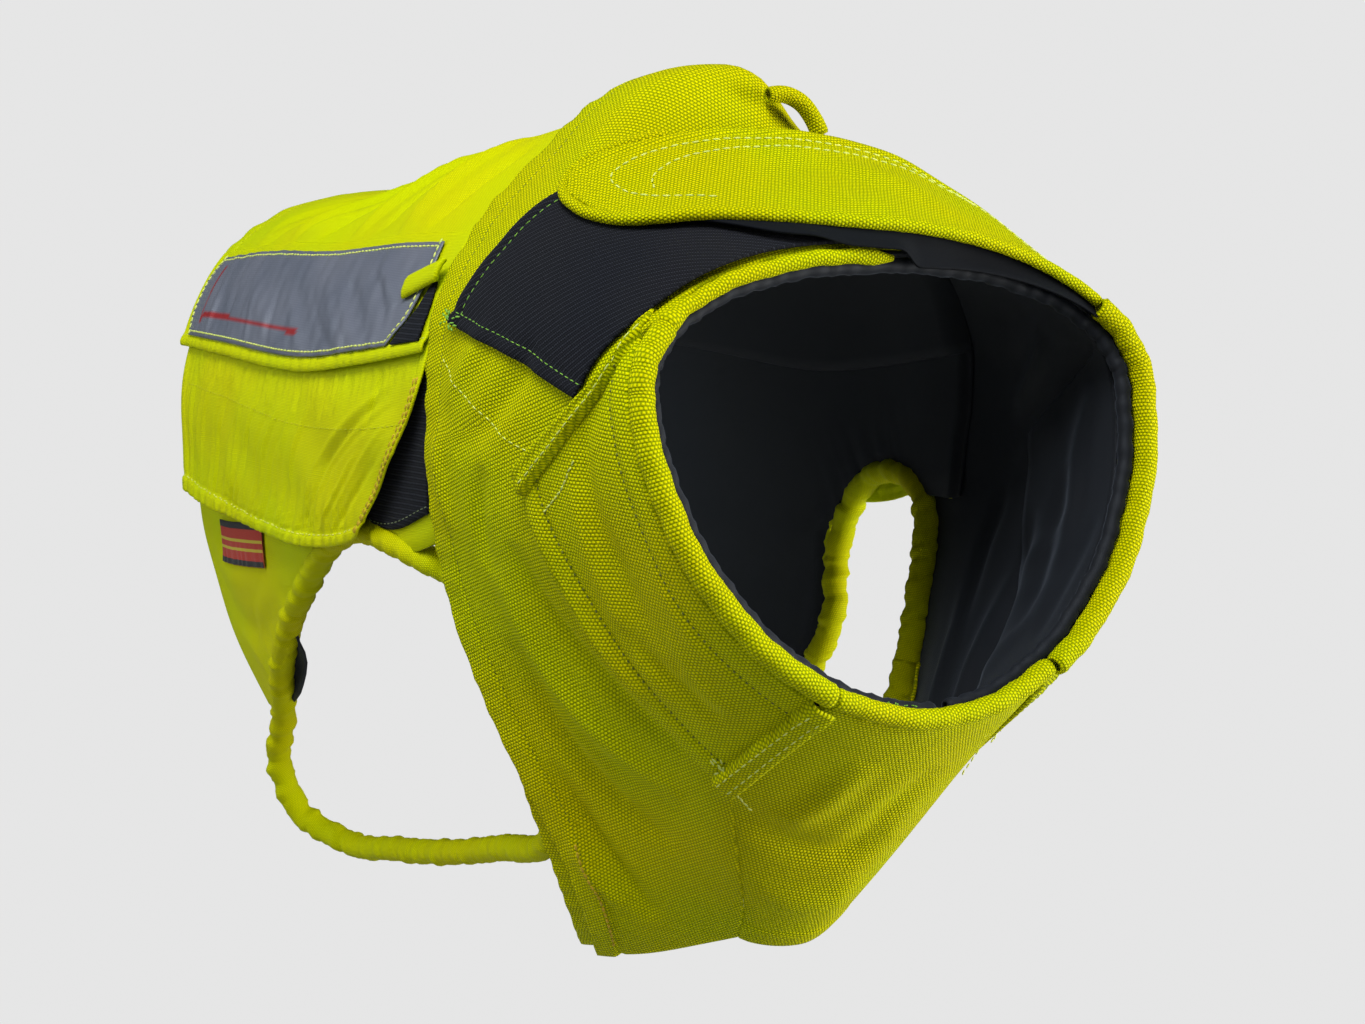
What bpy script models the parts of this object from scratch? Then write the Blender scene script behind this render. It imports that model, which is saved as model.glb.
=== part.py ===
"""Dog protective vest, built as a maker would: cloth pieces cut to shape, laid on one body form and lapped.

The form is a ring table: each ring runs round the dog's neck, chest or back. Every panel is an outline on that
form, given by its four sides as (run, turn) points, with its own wall and its own distance out from the form.
Run goes from 0 at the neck rim to 100 at the rear hem. Turn is the angle round from the middle of the back:
90 is the dog's left side, -90 its right side and 180 the breast.
Front is -Y, up is +Z and +X is the dog's left. The origin is the withers, under the back panel.
"""
import math

import bmesh
import bpy
import numpy as np

MM = 0.001
WITHERS = (0.0, 165.0, 133.0)  # measured, like the rings, from the middle of the neck opening

# wall of each cloth and how far its inner face lies from the form, in millimetres
LINING_WALL = 1.2
HEAVY_WALL = 2.0
FINE_WALL = 1.2
TAPE_WALL = 0.8
LOOP_WALL = 1.4
HEAVY_OUT = 1.6
FINE_OUT = 1.6

RIM_ROLL = 4.2
RIM_PIPING = 2.6
LEG_TUBE = 5.6

RING_COLUMNS = ("run", "top_y", "top_z", "low_y", "low_z", "half", "widest", "top_square", "low_square", "sweep")
RINGS = (
    (0.0, 22, 77, -19, -79, 105, 0.30, 2.2, 1.9, -4),
    (10.0, 54, 94, 4, -106, 112, 0.33, 2.25, 1.8, 6),
    (22.0, 96, 113, 37, -147, 118, 0.36, 2.3, 1.62, 14),
    (34.0, 140, 125, 75, -187, 120, 0.38, 2.3, 1.64, 28),
    (46.0, 194, 129, 130, -218, 125, 0.39, 2.4, 2.2, 24),
    (60.0, 262, 126, 215, -226, 129, 0.40, 2.5, 2.5, 10),
    (80.0, 360, 117, 356, -220, 131, 0.38, 2.7, 2.6, 0),
    (100.0, 456, 104, 440, -196, 129, 0.36, 2.8, 2.5, -22),
)
HUMP_HEIGHT = 24.0
HUMP_RUN = 28.4
HUMP_AHEAD = 4.2
HUMP_BEHIND = 13.0
HUMP_TURN = 0.0
HUMP_RIGHT = 29.0
HUMP_LEFT = 6.5

YELLOW_HEAVY = (0.62, 0.66, 0.02)
YELLOW_FINE = (0.68, 0.78, 0.03)
BLACK_LINING = (0.012, 0.013, 0.018)
BLACK_LOOP = (0.015, 0.015, 0.02)
GREY_TAPE = (0.13, 0.15, 0.19)
RED_PRINT = (0.55, 0.03, 0.03)


def smooth(places, values, at):
    """A smooth curve through a table's column."""
    slopes = np.gradient(values, places)
    low = np.clip(np.searchsorted(places, at) - 1, 0, len(places) - 2)
    step = places[low + 1] - places[low]
    part = (at - places[low]) / step
    rise = part * part * (3 - 2 * part)
    return (
        (1 - rise) * values[low]
        + rise * values[low + 1]
        + part * (1 - part) ** 2 * step * slopes[low]
        - part * part * (1 - part) * step * slopes[low + 1]
    )


def form(run, turn):
    """Point of the body form, in millimetres from the withers."""
    rings = np.array(RINGS, float)
    run, turn = np.broadcast_arrays(np.asarray(run, float), np.asarray(turn, float))
    column = {name: smooth(rings[:, 0], rings[:, place], run) for place, name in enumerate(RING_COLUMNS)}
    upright = np.cos(np.radians(turn))
    sideways = np.sin(np.radians(turn))
    power = np.where(upright >= 0, 2 / column["top_square"], 2 / column["low_square"])
    out = np.sign(sideways) * np.abs(sideways) ** power
    rise = np.abs(upright) ** power
    down = np.where(
        upright >= 0,
        column["widest"] * (1 - rise),
        column["widest"] + (1 - column["widest"]) * rise,
    )
    x = column["half"] * out
    y = column["top_y"] + (column["low_y"] - column["top_y"]) * down + column["sweep"] * sideways**2
    z = column["top_z"] + (column["low_z"] - column["top_z"]) * down
    length = np.where(run < HUMP_RUN, HUMP_AHEAD, HUMP_BEHIND)
    around = (turn + 180) % 360 - 180 - HUMP_TURN
    fall = np.where(around < 0, np.abs(around / HUMP_RIGHT) ** 3.4, (around / HUMP_LEFT) ** 2)
    z = z + HUMP_HEIGHT * np.exp(-(((run - HUMP_RUN) / length) ** 2) - fall)
    return np.stack([x, y, z], -1) - np.array(WITHERS)


def outward(run, turn):
    """Unit normal of the form, pointing away from the dog."""
    along = form(run + 0.2, turn) - form(run - 0.2, turn)
    around = form(run, turn + 0.6) - form(run, turn - 0.6)
    normal = np.cross(around, along)
    return normal / np.linalg.norm(normal, axis=-1, keepdims=True)


def raised(run, turn, out):
    """Point of the form moved out by a distance in millimetres."""
    run = np.asarray(run, float)
    turn = np.asarray(turn, float)
    return form(run, turn) + outward(run, turn) * np.asarray(out, float)[..., None]


def even_line(points, count, places=None):
    """Smooth line through a few table points, sampled at count + 1 even places or at given shares of its length."""
    points = np.array(points, float)
    part = np.linspace(0, 1, count + 1) if places is None else np.array(places, float)
    if len(points) == 2:
        return points[0] * (1 - part[:, None]) + points[1] * part[:, None]
    length = np.concatenate([[0], np.cumsum(np.linalg.norm(np.diff(points, axis=0), axis=1))])
    at = part * length[-1]
    return np.stack([smooth(length, points[:, axis], at) for axis in range(points.shape[1])], -1)


def panel_grid(rows, across, places=None):
    """(run, turn) grid of a panel from its rows; each row is a few points from the fore edge to the rear edge."""
    return np.array([even_line(row, across, places) for row in rows])


def left_side(grid):
    """The same grid on the dog's left side."""
    return grid * (1, -1)


def material(name, color, roughness, metallic=0.0):
    made = bpy.data.materials.new(name)
    made.use_nodes = True
    shader = made.node_tree.nodes["Principled BSDF"]
    shader.inputs["Base Color"].default_value = (*color, 1.0)
    shader.inputs["Roughness"].default_value = roughness
    shader.inputs["Metallic"].default_value = metallic
    made.diffuse_color = (*color, 1.0)
    return made


def add_object(name, points, faces, color, roughness, metallic=0.0):
    mesh = bpy.data.meshes.new(name)
    mesh.from_pydata([tuple(point) for point in np.asarray(points) * MM], [], faces)
    builder = bmesh.new()
    builder.from_mesh(mesh)
    loose = [vertex for vertex in builder.verts if not vertex.link_faces]
    bmesh.ops.delete(builder, geom=loose, context="VERTS")
    bmesh.ops.recalc_face_normals(builder, faces=builder.faces)
    builder.to_mesh(mesh)
    builder.free()
    mesh.materials.append(material(name + "_cloth", color, roughness, metallic))
    made = bpy.data.objects.new(name, mesh)
    bpy.context.scene.collection.objects.link(made)
    return made


def slab_faces(grid, left_out):
    """Faces of a closed slab whose inner grid comes first and its outer grid second; left_out(row, column) skips a cell.

    Every cell is split from the corner farther round and further forward, so laid pieces fold along the same lines.
    """
    rows, columns = grid.shape[:2]
    reach = np.abs((grid[..., 1] + 180) % 360 - 180).mean(axis=1)
    quads = []
    for row in range(rows - 1):
        for column in range(columns - 1):
            if left_out and left_out(row, column):
                continue
            a = row * columns + column
            quad = (a, a + 1, a + columns + 1, a + columns)
            quads.append(quad if reach[row] > reach[row + 1] else quad[1:] + quad[:1])
    other = rows * columns
    faces = []
    for a, b, c, d in quads:
        faces += [(a, c, b), (a, d, c)]
        faces += [(other + a, other + b, other + c), (other + a, other + c, other + d)]
    edges = {}
    for quad in quads:
        for here, there in zip(quad, quad[1:] + quad[:1]):
            edges[here, there] = True
    for here, there in edges:
        if (there, here) not in edges:
            faces.append((here, there, other + there, other + here))
    return faces


def cloth(name, grid, out, wall, color, roughness, lift=0.0, left_out=None):
    """Closed sheet of cloth on a (run, turn) grid; lift is extra distance out, one number or one per grid point."""
    inner = raised(grid[..., 0], grid[..., 1], out + lift + np.zeros(grid.shape[:2]))
    outer = raised(grid[..., 0], grid[..., 1], out + wall + lift + np.zeros(grid.shape[:2]))
    points = np.concatenate([inner.reshape(-1, 3), outer.reshape(-1, 3)])
    return add_object(name, points, slab_faces(grid, left_out), color, roughness)


def tube(name, path, radii, facets, color, roughness, closed=False, flat=1.0):
    """Round or flattened tube along a path of points; flat squeezes it towards the body form's middle."""
    path = np.asarray(path, float)
    count = len(path)
    ahead = np.roll(path, -1, axis=0) if closed else np.vstack([path[1:], path[-1:]])
    behind = np.roll(path, 1, axis=0) if closed else np.vstack([path[:1], path[:-1]])
    tangent = ahead - behind
    tangent /= np.linalg.norm(tangent, axis=1, keepdims=True)
    middle = path.mean(axis=0)
    side = np.cross(tangent, path - middle)
    side /= np.linalg.norm(side, axis=1, keepdims=True)
    other = np.cross(side, tangent)
    angle = np.linspace(0, 2 * math.pi, facets, endpoint=False)
    radii = np.broadcast_to(np.asarray(radii, float), (count,))
    ring = side[:, None] * np.cos(angle)[None, :, None] + flat * other[:, None] * np.sin(angle)[None, :, None]
    points = (path[:, None] + ring * radii[:, None, None]).reshape(-1, 3)
    faces = []
    for step in range(count if closed else count - 1):
        nearer = step * facets
        farther = (step + 1) % count * facets
        for turn in range(facets):
            beside = (turn + 1) % facets
            faces.append((nearer + turn, nearer + beside, farther + beside, farther + turn))
    if not closed:
        faces.append(tuple(range(facets))[::-1])
        faces.append(tuple((count - 1) * facets + turn for turn in range(facets)))
    return add_object(name, points, faces, color, roughness)


def space_line(points, count, closed=False):
    """Smooth line through points in space, sampled at even lengths."""
    points = np.array(points, float)
    if closed:
        points = np.vstack([points[-2:], points, points[:3]])
    length = np.concatenate([[0], np.cumsum(np.linalg.norm(np.diff(points, axis=0), axis=1))])
    if closed:
        at = np.linspace(length[2], length[-3], count + 1)[:-1]
    else:
        at = np.linspace(0, length[-1], count + 1)
    return np.stack([smooth(length, points[:, axis], at) for axis in range(3)], -1)


for leftover in list(bpy.data.objects):
    bpy.data.objects.remove(leftover)

# How far the chest's heavy cloth stands off over the back and belly panels at its rear edge, by turn.
STAND_TURN = (0, 56, 68, 104, 114, 125, 180)
STAND_OFF = (3.6, 3.6, 6.2, 6.2, 3.2, 1.8, 1.8)
STAND_FROM = 12.0
STAND_TO = 29.0

# Rows of the dog's right side, each from the fore edge to the rear edge as (run, turn) points.
SIDE_PLACES = (0, 0.12, 0.24, 0.36, 0.48, 0.58, 0.68, 0.76, 0.84, 0.92, 1)
SIDE_ROWS = (
    ((1.5, 28), (35.0, 28)),
    ((1.5, 10), (35.0, 10)),
    ((1.5, 2), (35.1, 2)),
    ((1.5, -8), (35.2, -8)),
    ((1.5, -26), (35.2, -25)),
    ((1.5, -44), (34.6, -42)),
    ((1.5, -60), (33.2, -58)),
    ((5.0, -84), (18, -78), (32.3, -72)),
    ((13.0, -95), (23, -90), (32.3, -86)),
    ((17.2, -105), (33.8, -98)),
    ((17.4, -119), (36.6, -110)),
    ((17.4, -133), (38.0, -121)),
    ((18.0, -147), (39.2, -133)),
    ((24.0, -154), (41.4, -144)),
    ((29.5, -160), (43.8, -151)),
    ((34.5, -166), (46.6, -157)),
)
LEFT_FROM = 6
LEFT_REAR = {9: (36.8, -98), 10: (38.6, -110), 11: (39.2, -121)}
LEFT_TOP_ROWS = (
    ((1.5, 34), (35.6, 32)),
    ((1.5, 46), (34.8, 45)),
)
THROAT_ROWS = (
    ((1.5, 153), (1.5, 207)),
    ((9.5, 149.5), (9.5, 210.5)),
    ((18.0, 147.4), (18.0, 212.6)),
    ((24.0, 154.4), (24.0, 205.6)),
    ((29.5, 160.4), (29.5, 199.6)),
    ((34.5, 166.4), (34.5, 193.6)),
)
INSERT_ROWS = (
    ((1.2, -61), (4.0, -81), (8.5, -89.5), (18.6, -99)),
    ((1.2, -71), (4.8, -86.5), (10.5, -96), (18.6, -103.5)),
    ((1.2, -81), (5.0, -92), (11.5, -101.5), (18.6, -108)),
    ((1.2, -97), (18.6, -117)),
    ((1.2, -113), (18.6, -126)),
    ((1.2, -128), (18.6, -135)),
    ((1.2, -141), (18.6, -143)),
    ((1.2, -154), (18.2, -149.5)),
)
FACING_ROWS = (
    ((36.6, -123), (38.2, -123)),
    ((36.8, -131), (40.2, -131)),
    ((39.0, -141.5), (42.8, -141.5)),
    ((41.6, -149.8), (45.8, -149.8)),
    ((44.4, -157), (49.2, -157)),
)
FLAP_ROWS = (
    ((1.8, 58), (5.0, 58)),
    ((1.6, 46), (9.0, 46)),
    ((1.6, 32), (14.0, 32)),
    ((1.8, 18), (18.0, 16)),
    ((2.6, 4), (20.0, 2)),
    ((4.6, -9), (21.5, -10)),
    ((7.2, -20), (22.6, -21)),
    ((10.8, -31), (23.4, -31)),
    ((14.0, -39), (23.4, -39)),
    ((17.2, -43.6), (21.6, -43.6)),
)
FLAP_LIFT = (0.0, 1.6, 5.4, 7.8, 8.0, 7.4, 6.8, 6.2, 5.8, 5.4)
PATCH_ROWS = (
    ((3.0, -8), (16.0, -8)),
    ((2.6, -26), (19.5, -25.6)),
    ((2.6, -44), (24.0, -42.4)),
    ((3.2, -60), (26.0, -58.4)),
    ((6.4, -78), (14, -73.5), (27.2, -67)),
    ((8.8, -88), (17, -80), (28.0, -72.4)),
)
PATCH_LIFT = (0.6, 1.2, 1.6, 0.6, 0.0, 0.0)
# The back panel starts on the chest's last two columns of points, then runs to the rear hem.
BACK_RUNS = (42, 49, 57, 66, 76, 88, 100)
BACK_SIDE_TURN = -76.0
BACK_LINING_TURN = -80.0
BELLY_RUNS = (42, 48, 56, 64, 73, 82, 91)
BELLY_RIGHT = {
    "arch": ((41.8, -97.0), (47.4, -91.6), (56, -92.0), (63.0, -95.6)),
    "lower": (
        ((68.5, -102.5), (98.2, -104)),
        ((73.4, -109), (94.0, -111)),
        ((77.3, -117), (88.0, -118)),
        ((79.8, -123), (83.5, -124)),
    ),
}
BELLY_LEFT = {
    "arch": ((40.6, -95.8), (45.2, -91.2), (51.4, -90.8), (57.6, -93.2)),
    "lower": (
        ((62.0, -98.5), (98.2, -104)),
        ((62.6, -107), (94.0, -111)),
        ((65.4, -115), (88.0, -118)),
        ((70.4, -122), (83.5, -124)),
    ),
}
BAND_ROWS = (
    ((35.0, -52), (98.0, -52)),
    ((33.5, -66), (98.6, -66)),
    ((33.0, -76.5), (99.0, -78.5)),
)
BAND_LIFT = (0.2, 2.4, 6.0)
TAPE_ROWS = (
    ((39.6, -53.5), (97.0, -53.5)),
    ((39.2, -65.5), (97.6, -65.8)),
    ((41.0, -74.6), (98.0, -76.6)),
)
BACKING_ROWS = (
    ((36.0, -56), (38.6, -56)),
    ((34.4, -66), (38.2, -66)),
    ((33.9, -74.6), (39.8, -74.6)),
)
SIDE_FLAP_ROWS = (
    ((33.4, -73), (98.6, -74)),
    ((35.6, -84.5), (98.8, -85)),
    ((46.0, -95.5), (98.8, -96.5)),
)
SIDE_FLAP_LIFT = (0.3, 4.6, 6.8)
LOOP_ROWS = (
    ((33.6, -79), (50.0, -79)),
    ((33.8, -86), (51.0, -86)),
    ((36.4, -91.5), (44.0, -90), (52.0, -89.5)),
)
TAB_ROWS = (
    ((34.6, -58.5), (41.0, -62.6)),
    ((34.6, -62), (41.0, -66)),
)
LABEL_ROWS = (
    ((85.0, -98.6), (95.6, -99.4)),
    ((84.6, -103.6), (95.2, -104.2)),
)

# Leg opening bindings: the part laid on the panels as (run, turn, out), then the free strap as (x, y, z).
LEG_RIGHT = (
    (34.4, -122, -10.5),
    (35.2, -114, -9.0),
    (37.6, -107, -5.0),
    (40.6, -101.6, 0.5),
    (44.2, -97.4, 3.4),
    (49.0, -94.8, 4.0),
    (56.0, -94.9, 4.2),
    (64.0, -99.5, 4.2),
    (69.6, -106, 4.2),
    (73.9, -114, 4.2),
    (77.2, -122, 4.2),
)
STRAP_RIGHT = (
    (-116, 360, -172),
    (-107, 357, -196),
    (-92, 334, -207),
    (-84, 290, -200),
    (-80, 238, -188),
    (-77, 185, -172),
    (-77, 142, -158),
)
LEG_LEFT = (
    (40.7, -121, -2.0),
    (40.3, -113, -1.0),
    (40.3, -106, 0.5),
    (41.2, -100.2, 2.4),
    (43.7, -95.6, 3.6),
    (47.4, -93.2, 4.0),
    (52.4, -93.4, 4.2),
    (56.8, -96.4, 4.2),
    (59.2, -101.5, 4.2),
    (59.6, -108.5, 4.2),
    (62.6, -116.5, 4.2),
    (67.6, -123.5, 4.2),
)
STRAP_LEFT = (
    (-110, 312, -172),
    (-102, 312, -192),
    (-91, 290, -199),
    (-84, 255, -192),
    (-81, 215, -181),
    (-77, 178, -170),
    (-77, 142, -158),
)
NAPE_LOOP_POINTS = (
    (5.6, 98.4, 139.3),
    (10, 97.0, 138.5),
    (15, 96.0, 135),
    (19, 95.0, 130),
    (20.5, 94.0, 124.7),
)


def stand(grid):
    """How far the chest's cloth stands off at each point of a grid."""
    run, turn = grid[..., 0], (grid[..., 1] + 180) % 360 - 180
    part = np.clip((run - STAND_FROM) / (STAND_TO - STAND_FROM), 0, 1)
    return part * part * (3 - 2 * part) * np.interp(np.abs(turn), STAND_TURN, STAND_OFF)


def per_row(values, grid):
    """One lift for each row of a grid."""
    return np.array(values, float)[:, None] + np.zeros(grid.shape[:2])


def both_sides(name, grid, out, wall, color, roughness, lift=0.0):
    """The same piece on the dog's right and left sides."""
    cloth(name + "_right", grid, out, wall, color, roughness, lift)
    cloth(name + "_left", left_side(grid), out, wall, color, roughness, lift)


# Chest: heavy side panels, the throat gore between them and the collar inserts, each with its lining.
right_grid = panel_grid(SIDE_ROWS, 10, SIDE_PLACES)
left_rows = [(*row[:-1], LEFT_REAR.get(place, row[-1])) for place, row in enumerate(SIDE_ROWS)][LEFT_FROM:]
left_sides = left_side(panel_grid(left_rows, 10, SIDE_PLACES))
left_grid = np.concatenate([panel_grid(LEFT_TOP_ROWS, 10, SIDE_PLACES), left_sides])
for side, grid in (("right", right_grid), ("left", left_grid)):
    cloth("side_panel_" + side, grid, HEAVY_OUT, HEAVY_WALL, YELLOW_HEAVY, 0.75, stand(grid))
    cloth("side_lining_" + side, grid, 0.0, LINING_WALL, BLACK_LINING, 0.6, stand(grid))
throat_grid = panel_grid(THROAT_ROWS, 7)
cloth("throat_panel", throat_grid, HEAVY_OUT, HEAVY_WALL, YELLOW_HEAVY, 0.75, stand(throat_grid))
cloth("throat_lining", throat_grid, 0.0, LINING_WALL, BLACK_LINING, 0.6, stand(throat_grid))
insert_grid = panel_grid(INSERT_ROWS, 4)
over_heavy = HEAVY_OUT + HEAVY_WALL + 0.8
both_sides("collar_insert", insert_grid, over_heavy + 0.3, HEAVY_WALL, YELLOW_HEAVY, 0.75, stand(insert_grid))
collar_grid = insert_grid + (1.2, 0)
both_sides("collar_lining", collar_grid, -3.8, LINING_WALL, BLACK_LINING, 0.6, stand(collar_grid))
facing_grid = panel_grid(FACING_ROWS, 1)
both_sides("edge_facing", facing_grid, -1.8, 1.4, YELLOW_HEAVY, 0.75, np.array([[1.4, 1.8]]))

# Back: one fine panel over the spine and its lining, from under the chest's rear edge to the rear hem.
back_rows = []
for chest_row in list(right_grid[7::-1]) + list(left_grid[:4]):
    back_rows.append(np.concatenate([chest_row[-2:], [(run, chest_row[-1, 1]) for run in BACK_RUNS]]))
for name, side_turn, out in (("back_panel", BACK_SIDE_TURN, FINE_OUT), ("back_lining", BACK_LINING_TURN, 0.0)):
    edge = back_rows[0] * (1, 0) + (0, side_turn)
    back_grid = np.array([edge] + back_rows + [left_side(edge)])
    if out:
        cloth(name, back_grid, out, FINE_WALL, YELLOW_FINE, 0.7)
    else:
        cloth(name, back_grid, out, LINING_WALL, BLACK_LINING, 0.6)


def belly_cell_left_out(row, column):
    return row >= 3 and column < 5


def lining_cell_left_out(row, column):
    return belly_cell_left_out(row + 1, column)


def belly_grid(shape):
    """Side and belly panel: straight above the leg opening, then a tongue behind it."""
    rows = []
    for chest, shift in ((7, 0.0), (7, -5.6), (8, 0.0)):
        near = right_grid[chest][-2:] + (0, shift)
        level = [(run, near[1, 1]) for run in BELLY_RUNS]
        rows.append(np.concatenate([near, level, [(99.2, near[1, 1])]]))
    beyond = even_line((shape["arch"][-1], (99.0, -97.5)), 4)
    near = right_grid[9][-2:] * 0.7 + right_grid[10][-2:] * 0.3
    rows.append(np.concatenate([near, shape["arch"][:-1], beyond]))
    for fore, rear in shape["lower"]:
        line = even_line((fore, rear), 4)
        rows.append(np.concatenate([line[:1]] * 5 + [line]))
    return np.array(rows)


belly_face = FINE_OUT + 2.0 + FINE_WALL
for side, shape in (("right", BELLY_RIGHT), ("left", BELLY_LEFT)):
    grid = belly_grid(shape)
    if side == "left":
        grid = left_side(grid)
    cloth("belly_panel_" + side, grid, FINE_OUT + 2.0, FINE_WALL, YELLOW_FINE, 0.7, 0.0, belly_cell_left_out)
    cloth("belly_lining_" + side, grid[1:], 2.0, LINING_WALL, BLACK_LINING, 0.6, 0.0, lining_cell_left_out)

# Side flaps: the lower flap over its loop piece, and the reflective band over its top.
both_sides("side_loop", panel_grid(LOOP_ROWS, 2), belly_face + 0.3, LOOP_WALL, BLACK_LOOP, 0.9)
flap_grid = panel_grid(SIDE_FLAP_ROWS, 9)
both_sides("side_flap", flap_grid, belly_face + 0.2, FINE_WALL, YELLOW_FINE, 0.7, per_row(SIDE_FLAP_LIFT, flap_grid))
band_out = FINE_OUT + FINE_WALL + 0.6
band_grid = panel_grid(BAND_ROWS, 9)
both_sides("band_flap", band_grid, band_out, FINE_WALL, YELLOW_FINE, 0.7, per_row(BAND_LIFT, band_grid))
tape_grid = panel_grid(TAPE_ROWS, 9)
tape_out = band_out + FINE_WALL + 0.8
both_sides("reflective_tape", tape_grid, tape_out, TAPE_WALL, GREY_TAPE, 0.4, per_row(BAND_LIFT, tape_grid))
backing_grid = panel_grid(BACKING_ROWS, 2)
backing_lift = per_row((0.7, 2.6, 5.9), backing_grid)
both_sides("band_loop", backing_grid, band_out + FINE_WALL + 0.5, 0.7, BLACK_LOOP, 0.9, backing_lift)
both_sides("pull_tab", panel_grid(TAB_ROWS, 2), band_out + 5.5, 2.4, YELLOW_FINE, 0.7)
cloth("side_label", panel_grid(LABEL_ROWS, 2), belly_face + 0.5, 0.6, RED_PRINT, 0.7)

# Nape closure: the loop patch on the right side and the flap that comes over it from the left.
patch_grid = panel_grid(PATCH_ROWS, 7)
patch_lift = per_row(PATCH_LIFT, patch_grid) + stand(patch_grid)
cloth("loop_patch", patch_grid, over_heavy, LOOP_WALL, BLACK_LOOP, 0.9, patch_lift)
nape_grid = panel_grid(FLAP_ROWS, 4)
nape_lift = per_row(FLAP_LIFT, nape_grid) + stand(nape_grid)
cloth("closure_flap", nape_grid, over_heavy, HEAVY_WALL, YELLOW_HEAVY, 0.75, nape_lift)
cloth("flap_lining", nape_grid[3:], over_heavy - 1.6, 1.2, BLACK_LOOP, 0.9, nape_lift[3:])


def rim_path(first, last, count, run, out):
    """Points along the neck rim."""
    turn = np.linspace(first, last, count + 1)
    return raised(np.full_like(turn, run), turn, np.full_like(turn, out))


# Neck rim: the turned edge as a roll, in lapped lengths, and the soft black edge of the lining inside it.
tube("rim_throat", rim_path(153.5, 206.5, 8, 0.1, 2.6), RIM_ROLL, 6, YELLOW_HEAVY, 0.75)
tube("rim_insert_right", rim_path(-62, -152, 11, -0.2, 4.2), RIM_ROLL, 6, YELLOW_HEAVY, 0.75)
tube("rim_insert_left", rim_path(59.2, 152, 11, -0.2, 4.2), RIM_ROLL, 6, YELLOW_HEAVY, 0.75)
tube("rim_top", rim_path(-60, 28, 12, 0.1, 2.6), RIM_ROLL, 6, YELLOW_HEAVY, 0.75)
tube("rim_piping", rim_path(-178, 178, 36, 0.8, -3.6), RIM_PIPING, 6, BLACK_LINING, 0.6)
edge_points = nape_grid[:-1, 0] - (1.2, 0)
tube("rim_flap", raised(edge_points[:, 0], edge_points[:, 1], over_heavy + 1.0 + nape_lift[:-1, 0]), 3.2, 6, YELLOW_HEAVY, 0.75)

# Leg openings: a gathered elastic binding all round each, free below the belly.
for side, on_form, strap in (("right", LEG_RIGHT, STRAP_RIGHT), ("left", LEG_LEFT, STRAP_LEFT)):
    laid = raised(*np.array(on_form, float).T)
    free = np.array(strap, float) - np.array(WITHERS)
    path = space_line(np.concatenate([laid, free]), 40, closed=True)
    if side == "left":
        path = path * (-1, 1, 1)
    tube("leg_binding_" + side, path, LEG_TUBE, 6, YELLOW_FINE, 0.7, closed=True)
loop_path = space_line(np.array(NAPE_LOOP_POINTS, float) - np.array(WITHERS), 8)
tube("nape_loop", loop_path, 4.0, 6, YELLOW_HEAVY, 0.75)
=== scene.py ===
"""Dog protective vest in high-visibility yellow, shown in its worn shape with no wearer.

Every panel is a thin closed sheet on the same body form as its solid, cut finer, with its folds placed one
by one. Sizes are in millimetres from the withers, and meshes are written in metres. Front is -Y, up is +Z,
and +X is the dog's left.
"""

import math

import bmesh
import bpy
import numpy as np
from mathutils import Matrix, Vector

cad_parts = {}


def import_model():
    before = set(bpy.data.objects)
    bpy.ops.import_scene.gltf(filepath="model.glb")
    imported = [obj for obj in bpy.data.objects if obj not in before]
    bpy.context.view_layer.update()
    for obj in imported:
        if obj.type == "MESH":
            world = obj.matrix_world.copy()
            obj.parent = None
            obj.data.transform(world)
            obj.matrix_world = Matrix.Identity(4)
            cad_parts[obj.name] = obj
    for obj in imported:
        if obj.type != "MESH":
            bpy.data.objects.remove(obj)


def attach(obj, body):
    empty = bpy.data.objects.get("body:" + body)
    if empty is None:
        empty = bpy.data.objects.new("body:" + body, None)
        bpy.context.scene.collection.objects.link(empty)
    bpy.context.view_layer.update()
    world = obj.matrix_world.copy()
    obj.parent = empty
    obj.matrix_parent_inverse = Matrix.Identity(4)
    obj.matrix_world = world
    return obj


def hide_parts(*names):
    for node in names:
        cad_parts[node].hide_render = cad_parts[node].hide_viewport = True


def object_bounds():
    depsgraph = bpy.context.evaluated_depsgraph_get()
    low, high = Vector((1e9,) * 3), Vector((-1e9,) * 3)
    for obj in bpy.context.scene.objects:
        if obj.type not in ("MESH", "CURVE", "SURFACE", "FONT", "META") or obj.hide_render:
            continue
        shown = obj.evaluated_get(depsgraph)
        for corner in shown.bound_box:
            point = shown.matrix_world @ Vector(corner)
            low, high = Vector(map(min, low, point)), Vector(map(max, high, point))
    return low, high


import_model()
cad_low, cad_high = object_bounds()

# ---- Studio ------------------------------------------------------------------------------------------------
# A pale floor well below the vest, an even pale backdrop, and soft boxes: one high over the back, one low
# behind the dog's right side, one at its left front and a faint one ahead. The camera stands in front of
# the right shoulder.
scene = bpy.context.scene
scene.view_settings.view_transform = "Standard"
PALE = (0.79, 0.79, 0.79)
FLOOR_HALF, FLOOR_BELOW = 60.0, 0.24
CAMERA_AT, CAMERA_TURN, CAMERA_RISE = (-0.4243, -0.7336, -0.0447), math.radians(-30), math.radians(8)


def seen_pale(nodes, links, other, kind):
    """Shader that shows the plain backdrop tone, and gives the other shader to every other kind of ray."""
    path = nodes.new("ShaderNodeLightPath")
    plain = nodes.new(kind)
    plain.inputs["Color"].default_value = (*PALE, 1)
    mix = nodes.new("ShaderNodeMixShader")
    links.new(path.outputs["Is Camera Ray"], mix.inputs[0])
    links.new(other.outputs[0], mix.inputs[1])
    links.new(plain.outputs[0], mix.inputs[2])
    return mix.outputs[0]


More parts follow.
